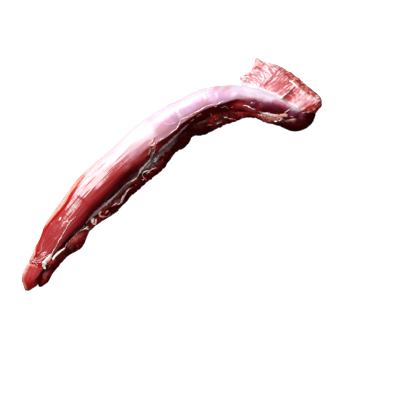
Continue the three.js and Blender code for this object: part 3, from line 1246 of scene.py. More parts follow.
    def _relief(self, shell: Shell, silver: Array) -> Array:
        """Lumps, bundles and fibres in millimetres, fainter under the silverskin, and the skin's folds.

        Args:
            shell: The muscle.
            silver: How much silverskin covers it.

        Returns:
            The push at every point.
        """
        x, y, _ = np.moveaxis(shell.rings, -1, 0)
        relief = self.lumps.over(shell.grain)
        relief += (self.bundles.over(shell.grain) + self.fibres.over(shell.grain)) * (1.0 - 0.85 * silver)
        relief += self.folds.over(shell.grain) * silver * stretch(x, *self.fold_run)
        relief += self.cords.over(shell.grain) * silver
        return relief - 0.28 * sum(fold.near(x, y, 1.3, 0.4) for fold in self.wrinkles)

    def _ledge(self, x: Array, edge: Array, edge_share: Array) -> Array:
        """The silverskin's raised edge and the hollow below it.

        Args:
            x: The points' x.
            edge: How far each point lies above the skin's edge.
            edge_share: The share of the edge passed at each point.

        Returns:
            The push at every point, in millimetres.
        """
        run = ramp(edge_share, 0.02, 0.16) * ramp(x, *self.ledge_run)
        hollow = ramp(edge, 0.3, -1.3) * ramp(edge, -15, -8)
        return (0.5 * bump(edge - 0.9, 1.3) - 3.1 * hollow) * run


@dataclass
class Strap:
    """The knobbly side strap, with its lobes at the head. Runs are as the loin's."""

    muscle: Muscle = Muscle(
        stations=(
            (-178, -42.6, 3, 6), (-169, -39, 4.2, 9), (-160, -34, 5, 10.5), (-150, -29.4, 6.4, 12),
            (-136, -26, 7.4, 13), (-122, -23.6, 8.2, 14), (-107, -17.8, 5.8, 13), (-90, -15, 6.4, 14),
            (-73, -14.4, 8.4, 15), (-53, -9.4, 7.4, 15.5), (-32, -5.2, 9.4, 16.5), (-11, -2.2, 9, 17),
            (7, 5.2, 8.8, 17), (22, 7, 10, 17.5), (34, 9, 9.8, 17.5), (50, 4.2, 10.8, 18),
            (66, 2.8, 10, 18), (82, -2, 9.2, 18), (96, -8.6, 6.4, 18), (108, -21, 6.8, 18.5),
            (119, -33, 7.2, 19.5), (130, -43.6, 12.4, 18.5), (141, -46, 9.8, 16), (152, -45.6, 5, 11),
        ),
        swell=0.085,
        phase=2.1,
        rows=620,
        columns=150,
        girth=8.0,
    )
    seam: PlanPath = PlanPath((
        (-100, -13), (-85, -10), (-66, -8), (-52, -5), (-40, -4), (-28, 0), (-14, 4), (0, 6), (18, 9),
        (36, 12),
    ))
    fat_line: PlanPath = PlanPath((
        (100.6, -13), (104.4, -19.4), (108.4, -24.8), (115.8, -30), (123.4, -34.4), (128.4, -38.6),
    ))
    fresh_line: PlanPath = PlanPath((
        (84, 0), (90, -2.6), (95, -8), (98.6, -13), (101.6, -18.6), (105.4, -24), (111, -29), (117, -33),
    ))
    crease: PlanPath = PlanPath(((118, -36), (126, -37.5), (134, -41.5), (141, -47), (147, -52)))
    films: tuple[Patch, ...] = patches(
        (-113, -18, 6, 1.4, 0.5), (-119, -21.6, 6, 1.6, 0.45), (-164, -35.4, 3.4, 1.6, 0.5),
        (-22, -1, 7, 2.4, 0.5), (63, -2.6, 4, 1.6, 0.3), (76, 6, 3, 2, 0.4), (-64, -14, 4, 1.6, 0.4),
    )
    fresh: tuple[Patch, ...] = patches(
        (64.6, 4, 3.0, 2.4, 0.5), (62, 8.4, 1.8, 1.2, 0.6), (-117, -22.4, 8, 2.8, 0.6),
        (-153.4, -28.2, 4, 1.8, 1.0), (93, -6, 6, 3, 0.8), (-165, -36.6, 5, 1.6, 0.5),
        (-170, -40, 4, 1.4, 0.4), (-95, -20, 8, 3, 0.4), (-10, -7, 10, 2.6, 0.15), (79, -1, 4, 2, 0.25),
    )
    # The second plum patch, by the head's dark lobe, is a painted sheen; the first is the purple skin.
    plums: tuple[Patch, ...] = patches((132.4, -34.6, 5, 3.6), (137, -41.6, 3, 3, 0.5))
    knobs: Layer = Layer(21, (9, 7), 1.0)
    lobes: Layer = Layer(27, (5.5, 4.5), 0.42, 2, True)
    crumbs: Layer = Layer(23, (3.2, 2.6), 0.42)
    fibres: Layer = Layer(25, (12, 1.6), 0.16)
    rough_tail_run: Run = (-104, -88)
    smooth_head_run: Run = (122, 106)
    fat_run: Run = (99, 104, 126, 133)
    below_fat_run: Run = (106, 114)
    head_shade_run: Run = (128, 134)
    # Painted shade: stretches along the strap in the loin's shadow, below the fat strip and over the head's
    # lobes.
    shades: tuple[tuple[float, Run], ...] = (
        (0.85, (2, 12, 50, 58)),
        (0.4, (66, 70, 78, 84)),
        (0.4, (-160, -150, -136, -128)),
        (0.62, (-66, -58, 0, 6)),
    )

    def sculpted(self) -> Shell:
        """The strap with its lumps, creases and masks."""
        shell = self.muscle.shell()
        x, y, _ = np.moveaxis(shell.rings, -1, 0)
        rough = ramp(x, *self.smooth_head_run) * (0.25 + 0.75 * ramp(x, *self.rough_tail_run))
        upper = ramp(shell.facing()[..., 2], -0.1, 0.4)
        relief = self.knobs.over(shell.grain) * (0.4 + 0.6 * rough) + self.fibres.over(shell.grain)
        relief += (self.crumbs.over(shell.grain) + self.lobes.over(shell.grain)) * (0.2 + 0.8 * rough)
        relief -= 3.0 * self.crease.near(x, y, 1.7) * upper
        shell.pushed(relief)
        shell.settled()
        fat, _ = self.fat_line.from_points(x, y)
        fresh_line = self.fresh_line.near(x, y, 3.0, 0.1)
        shades = [strength * stretch(x, *run) for strength, run in self.shades]
        shades += [ramp(fat, -2.0, -6.0) * ramp(x, *self.below_fat_run), ramp(x, *self.head_shade_run)]
        shell.masks = {
            "film": np.maximum(0.6 * self.seam.near(x, y, 1.6), patched(self.films, x, y)) * upper,
            "fat": bump(fat, 2.7) * stretch(x, *self.fat_run) * upper,
            "shade": np.maximum.reduce(shades),
            "fresh": np.maximum(fresh_line, patched(self.fresh, x, y)) * upper,
            "plum": patched(self.plums, x, y) * upper,
        }
        return shell


@dataclass
class Flap:
    """The fan-shaped head flap: a slab with a thin coarse rim, fibre ridges and a cut across it.

    Runs are as the loin's, but along y.
    """

    middle: Pair = (136.0, -10.0)
    outline: tuple[Pair, ...] = (
        (107, 24.6), (114, 23.4), (122, 25), (131.2, 31), (136, 23.2), (145.4, 14), (153.2, -1),
        (159.6, -19.8), (164, -38.4), (154, -47), (138, -44), (124, -30), (112, -8), (105, 10),
    )
    thickness: float = 15.0
    rim: float = 6.5
    dip: float = 1.6
    squareness: Pair = (0.55, 0.6)
    raggedness: Pair = (0.024, 9.0)
    rows: int = 220
    columns: int = 440
    slope: float = 0.15
    hub: Pair = (104.0, 10.0)
    edge: PlanPath = PlanPath((
        (124, 27), (131, 29), (135, 21), (145, 12), (153, -2), (158.5, -20), (162, -36),
    ))
    arcs: tuple[PlanPath, ...] = (
        PlanPath(((142.4, -16.8), (144.6, -20.4), (143.6, -25), (139.6, -28.6)), 16),
        PlanPath(((137.4, -17.6), (139.8, -20.2), (139.4, -23.4), (136.6, -26)), 16),
    )
    cut: PlanPath = PlanPath(((127, -17.4), (132, -16.4), (138, -15.6), (145, -14.2)))
    red_line: PlanPath = PlanPath(((120, 1.8), (125, 3.4), (131, 4.5), (136, 5.6), (142, 8.4)))
    white_line: PlanPath = PlanPath(((121, 4.2), (126, 6.2), (131, 7.4), (137, 8.6)))
    fat: PlanPath = PlanPath(((146.2, -5.6), (147.6, -9), (148.6, -12.6), (149.4, -18)))
    attached: PlanPath = PlanPath((
        (102, 21), (109, 14), (114.6, 6), (120.4, -2), (127, -10), (133, -23), (139, -35),
    ))
    foot: PlanPath = PlanPath(((130, -33), (138, -38.8), (146, -38.2), (154, -39), (164, -40.4)))
    smooth: Patch = Patch(146.4, -30.4, 13, 7.4, 1.1)
    bright: Patch = Patch(160, -36.4, 3.6, 3.2, 0.75)
    blood: tuple[Patch, ...] = patches(
        (117.4, 19.4, 1.7, 2.2), (125.6, 23, 3, 1.2, 1.2), (128, 20.8, 1.7, 1.4, 1.2),
        (133, 21.6, 1.4, 1.0), (132.6, 26, 0.9, 3, 0.7), (112.6, 22, 0.9, 2.2, 0.6), (121, 13, 0.9, 3, 0.5),
        (136.4, 13, 1.2, 2, 0.6), (136, -18.6, 3.4, 1.8, 0.7), (141, -17.6, 3.6, 1.4, 0.6),
        (142.6, -6, 4.6, 2, 0.62), (140.6, -8.6, 5, 2.2, 0.62), (136.6, -3, 2, 2, 0.45),
        (142.4, -22, 2.4, 2.6, 0.5), (147.6, -35, 3, 1.6, 0.42), (150, -2, 2, 2, 0.4),
        (155, -15, 2, 2.4, 0.5), (155.8, -27, 1.8, 2, 0.5), (141, -34.6, 3.4, 1.6, 0.45),
        (136, 9.6, 0.9, 2.4, 0.5), (141, 10, 2.6, 2.4, 0.4), (145, 9, 1.6, 2.4, 0.35),
    )
    pales: tuple[Patch, ...] = patches(
        (127, 13, 5, 4.6, 0.9), (134.6, 8, 2, 6, 0.8), (137, 16, 3, 4, 0.7), (116, 8, 3.4, 6, 0.9),
        (137, -13.4, 10, 1.6, 0.6), (140, -30.4, 7, 3.2, 1.0), (153, -30.6, 2.8, 4.6, 0.95),
        (150.6, -23, 2.2, 5, 0.8), (155, -34, 2.4, 1.8, 0.6), (158, -34.4, 2.2, 2.2, 0.7),
        (142, -37.4, 2.6, 1.3, 0.9), (158.6, -37, 3.4, 2.2, 0.85), (149, -27, 5, 3, 0.8),
        (143, 12, 5, 6, 0.5), (109, 21, 5, 3, 0.9), (151.4, -44.2, 1.0, 0.8, 0.5),
        (153.6, -43.6, 1.0, 0.7, 0.6), (144.5, -41.4, 1.4, 0.9, 0.5),
    )
    rim_run: Run = (20, 14)
    strong_rim_run: Run = (9, 1)
    wide_rim_run: Run = (-34, -25, -1, 12)
    thin_corner: tuple[Run, Run] = ((117, 106), (4, 14))

    def sculpted(self) -> Shell:
        """Works the slab out.

        Each column runs from under the middle out to the rim and back over the top to the middle. Its reach
        from the middle is a sine of the way run, and its height a cosine, both raised to a power under one,
        which makes a slab with a rounded rim. The top dips a little between the middle and the rim.

        Returns:
            The closed surface, with its relief and masks.
        """
        half_turn = math.pi * np.linspace(0.0, 1.0, self.rows + 2)[1:-1, None]
        share = np.arange(self.columns) / self.columns
        turn = share[None, :] * 2 * math.pi
        share_of_edge, pace = self.raggedness
        ragged = 1.0 + share_of_edge * Noise(41).layered(pace * np.cos(turn), pace * np.sin(turn))
        edge = spline(self.outline, share, closed=True) - self.middle
        reach = np.sin(half_turn) ** self.squareness[0]
        lift = signed_power(-np.cos(half_turn), self.squareness[1])
        crown = self.thickness - self.rim - self.dip * np.sin(math.pi * reach)
        x = self.middle[0] + edge[:, 0] * ragged * reach
        y = self.middle[1] + edge[:, 1] * ragged * reach
        z = self.rim + np.where(lift > 0, crown, self.rim + SETTLE) * lift + 0.0 * x
        fibres, grain = self._fibres(x, y, z)
        shell = Shell(np.stack([x, y, z], -1), grain)
        self._dress(shell, fibres)
        return shell

    def _dress(self, shell: Shell, fibres: Array) -> None:
        """Adds the fibre ridges, the rim's coarse ones, the cut's step, the two lines and the masks.

        Args:
            shell: The plain slab.
            fibres: The fibres' pattern, from -1 to 1.
        """
        x, y, z = np.moveaxis(shell.rings, -1, 0)
        upper = ramp(z, self.rim - 1.0, self.rim + 1.5)
        knobs = Noise(51).layered(x / 5, y / 5, z / 5)
        coarse, at_rim = self._coarse_rim(x, y, knobs)
        cut, cut_share = self.cut.from_points(x, y)
        stepped = stretch(cut, -11, -6, -0.8, 0.3) * ramp(cut_share, 0, 0.2)
        stepped *= ramp(cut_share + 0.2 * knobs, 1.05, 0.75)
        foot, _ = self.foot.from_points(x, y)
        low = ramp(foot, 0.4, -1.2)
        red_line = self.red_line.near(x, y, 0.8, 0.15)
        white_line = self.white_line.near(x, y, 0.7, 0.15)
        smooth = np.minimum(self.smooth.over(x, y), 1.0)
        relief = 0.30 * fibres * (1 - at_rim) * (1 - 0.8 * smooth) + 0.5 * knobs
        relief += (1.1 * coarse + 0.9 * knobs - 0.8) * at_rim
        relief += 0.5 * bump(cut - 0.5, 0.8) * ramp(cut_share, 0, 0.2) - 1.5 * stepped
        relief += 0.3 * white_line - 0.5 * red_line - 0.9 * low
        shell.pushed(relief * upper + 0.7 * knobs * (1 - upper))
        shell.settled()
        corner_x, corner_y = self.thin_corner
        shell.rings[..., 2] *= 1.0 - 0.62 * ramp(x, *corner_x) * ramp(y, *corner_y)
        arcs = sum(arc.near(x, y, 0.7, 0.25) for arc in self.arcs)
        high = self._high(x, y)
        red = ramp(fibres + 0.3 * knobs + 0.16 * high, 0.06, -0.46)
        red *= (1.0 - 0.9 * smooth) * (0.62 + 0.38 * high)
        streak = np.clip(0.04 + 0.85 * red + red_line + 0.85 * stepped - 0.5 * arcs, 0, 1)
        spots = patched(self.pales, x, y) * np.maximum(ramp(fibres, -0.25, 0.2), 0.8 * smooth)
        joined = 0.95 * self.attached.near(x, y, 1.5, 0.05)
        plain = (1 - at_rim) * (1 - stepped) * (1 - smooth) * (1 - low)
        pale = (spots + joined) * (1 - 0.7 * stepped)
        pale += (0.55 * ramp(fibres, 0.14, 0.5) + 0.3 * high) * plain
        # The last term is a painted highlight on the rim's coarse ridges.
        pale += 0.55 * white_line + 0.35 * arcs - 0.9 * red_line + 0.4 * at_rim * ramp(coarse, 0.3, 0.7)
        fresh = patched(self.blood, x, y) * (1.2 - 0.9 * ramp(fibres, 0, 0.5))
        fresh += 0.95 * bump(foot + 1.6, 2.2)
        # Painted shade low on the slab's side, underneath and in the rim's hollows; past the foot it is
        # darker, more so in hollows.
        dark = 0.8 * ramp(z, self.rim + 0.5, 1.0) * ramp(x, 106, 112)
        dark += 0.75 * at_rim * ramp(coarse + knobs, -0.1, -0.7)
        dark += 0.8 * ramp(foot + knobs, -2.2, -4.6)
        dark += 0.8 * ramp(foot, -0.6, -2.4) * ramp(knobs + 0.5 * coarse, 0.3, -0.2)
        shell.masks = {
            "smooth": np.clip(1.4 * smooth, 0, 1),
            "streak": streak * (1 - 0.6 * at_rim),
            "pale": np.clip(pale, 0, 1) * upper,
            "rim": np.maximum(at_rim, 0.85 * low) * upper,
            "fresh": np.clip(fresh, 0, 1) * upper,
            "dark": np.clip(dark, 0, 1),
            "fat": self.fat.near(x, y, 0.8, 0.1) * upper,
        }

    def _coarse_rim(self, x: Array, y: Array, knobs: Array) -> tuple[Array, Array]:
        """The coarse rim, whose width the lumps vary.

        Args:
            x: The points' x.
            y: The points' y.
            knobs: The lumps' pattern, from -1 to 1.

        Returns:
            Its ridges' pattern, from -1 to 1, and how much each point belongs to it.
        """
        rim, rim_share = self.edge.from_points(x, y)
        inside = np.abs(rim)
        coarse = Noise(49).layered(rim_share * 22, inside / 1.6, layers=2)
        reach = 2.8 + 3.4 * stretch(y, *self.wide_rim_run)
        at_rim = ramp((inside + 2.2 * knobs) / reach, 1.2, 0.85) * ramp(y, *self.rim_run)
        at_rim *= (0.45 + 0.55 * ramp(y, *self.strong_rim_run)) * (1.0 - self.bright.over(x, y))
        return coarse, at_rim

    def _high(self, x: Array, y: Array) -> Array:
        """How much a point belongs to the flap's top part, over a line that rises with x."""
        return ramp(y - self.slope * (x - self.middle[0]), 6, 9)

    def _fibres(self, x: Array, y: Array, z: Array) -> tuple[Array, Array]:
        """The fibres' pattern: along the flap at its foot, and in arcs round a hub at its top.

        Args:
            x: The points' x.
            y: The points' y.
            z: The points' height.

        Returns:
            The pattern, from -1 to 1, and the grain that runs along it.
        """
        level = y - self.slope * (x - self.middle[0])
        fan = np.hypot(x - self.hub[0], y - self.hub[1])
        turn = np.arctan2(y - self.hub[1], x - self.hub[0])
        high = self._high(x, y)
        wander = 0.9 * Noise(43).layered(x / 8, y / 8)
        lying = Noise(45).layered(x / 7, (level + wander) / 1.05, layers=2)
        arched = Noise(47).layered(turn * 7, (fan + wander) / 1.05, layers=2)
        grain = np.stack([x * (1 - high) + y * high, (level + wander) * (1 - high) + fan * high, z], -1)
        grit = 0.35 * Noise(53).layered(x / 1.7, y / 1.7, layers=2)
        return 1.25 * (lying * (1 - high) + arched * high) + grit, grain


# ---- what lies on them -------------------------------------------------------------------------------------


class Tissue(Enum):
    """Kinds of tissue that lie on the muscles, each one piece."""

    SINEW = "sinew_threads"
    FAT = "fat_strips"
    SHRED = "pink_shreds"
    FILM = "seam_films"


@dataclass(frozen=True)
class Ply:
    """One of the threads that a cord is laid from. It starts and ends up to eight steps short.

    Attributes:
        start: The share of the cord at which it starts.
        end: The share at which it ends.
        thread: Its half width as a share of the cord's.
        beside: How many of the cord's half widths it lies beside the middle.
        late: One step that it starts later.
        longer: One step that it ends later.
    """

    start: float
    end: float
    thread: float
    beside: float = 0.0
    late: float = 0.0
    longer: float = 0.0


PLIES = (Ply(0.0, 1.0, 0.72), Ply(0.04, 0.9, 0.42, 0.75, late=0.02), Ply(0.0, 0.6, 0.36, -0.8, longer=0.03))


@dataclass(frozen=True)
class Strand:
    """A cord, strip or film that lies on the muscles.

    Attributes:
        tissue: What it is made of.
        spots: x, y, half width and lift over the surface, along it.
        flat: Half thickness as a share of half width.
        draped: Whether the whole width follows the ground, as a film does.
        columns: How many points go round it.
        pale: How much of its lighter colour it has.
        step: How far apart its rings are, in millimetres.
        single: The half width under which a cord is one ply.
        finest: The least half width, in millimetres.
        sunk: How far a draped strand may lie under the sharp ground, in millimetres.
        tucked: How far its edges dip, in millimetres.
    """

    tissue: Tissue
    spots: tuple[Spot, ...]
    flat: float = 0.75
    draped: bool = False
    columns: int = 14
    pale: float = 0.0
    step: float = 0.35
    single: float = 0.75
    finest: float = 0.12
    sunk: float = 0.15
    tucked: float = 0.45

    def shells(self, ground: Relief, soft_ground: Relief) -> list[Shell]:
        """Lays the strand on the ground: a film or a thin thread as one ply, a cord as three.

        Args:
            ground: The muscles' relief.
            soft_ground: The same relief, softened.

        Returns:
            The closed surfaces.
        """
        thickest = max(spot[2] for spot in self.spots)
        plies = 1 if self.draped or thickest < self.single else len(PLIES)
        return [self._ply(number, ground, soft_ground) for number in range(plies)]

    def _ply(self, number: int, ground: Relief, soft_ground: Relief) -> Shell:
        """Lays one ply.

        Its middle line is a spline through the spots that wanders a little; the plies after the first are
        thinner, run beside it and start and end short of it. The section is an ellipse whose size wavers
        along it, more so on one side than on the other, and closes at both ends.

        Args:
            number: Which ply it is, from 0.
            ground: The muscles' relief.
            soft_ground: The same relief, softened.

        Returns:
            The closed surface.
        """
        ply = PLIES[number]
        knots = np.asarray(self.spots, float)
        length = np.linalg.norm(np.diff(knots[:, :2], axis=0), axis=1).sum()
        rows = max(int(length / self.step), 16)
        seed = int(abs(knots[0, 0]) * 10) + int(abs(knots[0, 1]) * 10) + 37 * number
        steps = seed % 9
        share = np.linspace(ply.start + ply.late * steps, ply.end + ply.longer * steps, rows)
        line = spline(knots, share)
        heading = unit(np.gradient(line[:, :2], axis=0))
        arc = share * length
        still = 0.0 * arc
        waver = np.maximum(0.86 + 0.62 * Noise(seed).layered(arc / 1.9, still), 0.25)
        wander = 0.4 * Noise(seed + 5).layered(arc / 3.0, still, layers=2)
        drift = 1.0 + 0.9 * Noise(seed + 9).layered(arc / 2.6, still, layers=2)
        wander += ply.beside * line[:, 2] * drift
        closing = np.sqrt(np.clip(np.sin(math.pi * np.linspace(0.012, 0.988, rows)) * rows / 12, 0, 1))
        half = np.maximum(line[:, 2] * (1.0 if self.draped else ply.thread), self.finest) * waver * closing
        angle = np.arange(self.columns) / self.columns * 2 * math.pi
        edges = np.broadcast_arrays(arc[:, None] / 1.3, 2.0 * np.sign(np.cos(angle))[None, :])
        ragged = 1.0 + 0.3 * Noise(seed + 13).layered(*edges)
        across = half[:, None] * ragged * np.cos(angle) + wander[:, None]
        x = line[:, :1] - across * heading[:, 1:]
        y = line[:, 1:2] + across * heading[:, :1]
        thick = (self.flat * half)[:, None] * np.sin(angle)
        if self.draped:
            bed = np.maximum(soft_ground.at(x, y), ground.at(x, y) - self.sunk)
            z = bed + line[:, 3:4] + thick - self.tucked * np.cos(angle) ** 6
        else:
            z = (self._bed(line, ground) + line[:, 3] + 0.35 * self.flat * half)[:, None] + thick
        masks = {"rim": np.abs(np.cos(angle)) ** 3 + 0.0 * across, "pale": self.pale + 0.0 * across}
        grain = np.broadcast_arrays(arc[:, None], across, thick)
        return Shell(np.stack([x, y, z], -1), np.stack(grain, -1), masks)

    @staticmethod
    def _bed(line: Array, ground: Relief, spots: int = 7) -> Array:
        """The ground's height along a line, each the mean of a few neighbouring spots."""
        heights = np.pad(ground.at(line[:, 0], line[:, 1]), spots // 2, "edge")
        return np.convolve(heights, np.ones(spots) / spots, "valid")


SINEW, FAT, SHRED, FILM = Tissue


def cord(tissue: Tissue, *spots: Spot, pale: float = 0.0) -> Strand:
    """A round strand through spots of x, y, half width and lift."""
    return Strand(tissue, spots, pale=pale)


def strip(tissue: Tissue, flat: float, columns: int, *spots: Spot, pale: float = 0.0) -> Strand:
    """A flat strand that follows the ground over its whole width."""
    return Strand(tissue, spots, flat, True, columns, pale)


def rim_shred(x: float, y: float, reach: float) -> Strand:
    """A shred that stands out of the flap's rim, past x by a reach."""
    return cord(SHRED, (x - 2.2, y + 1.6, 0.3, 0.3), (x - 0.4, y, 0.6, 0.6), (x + reach, y - 1.4, 0.25, 0.1))


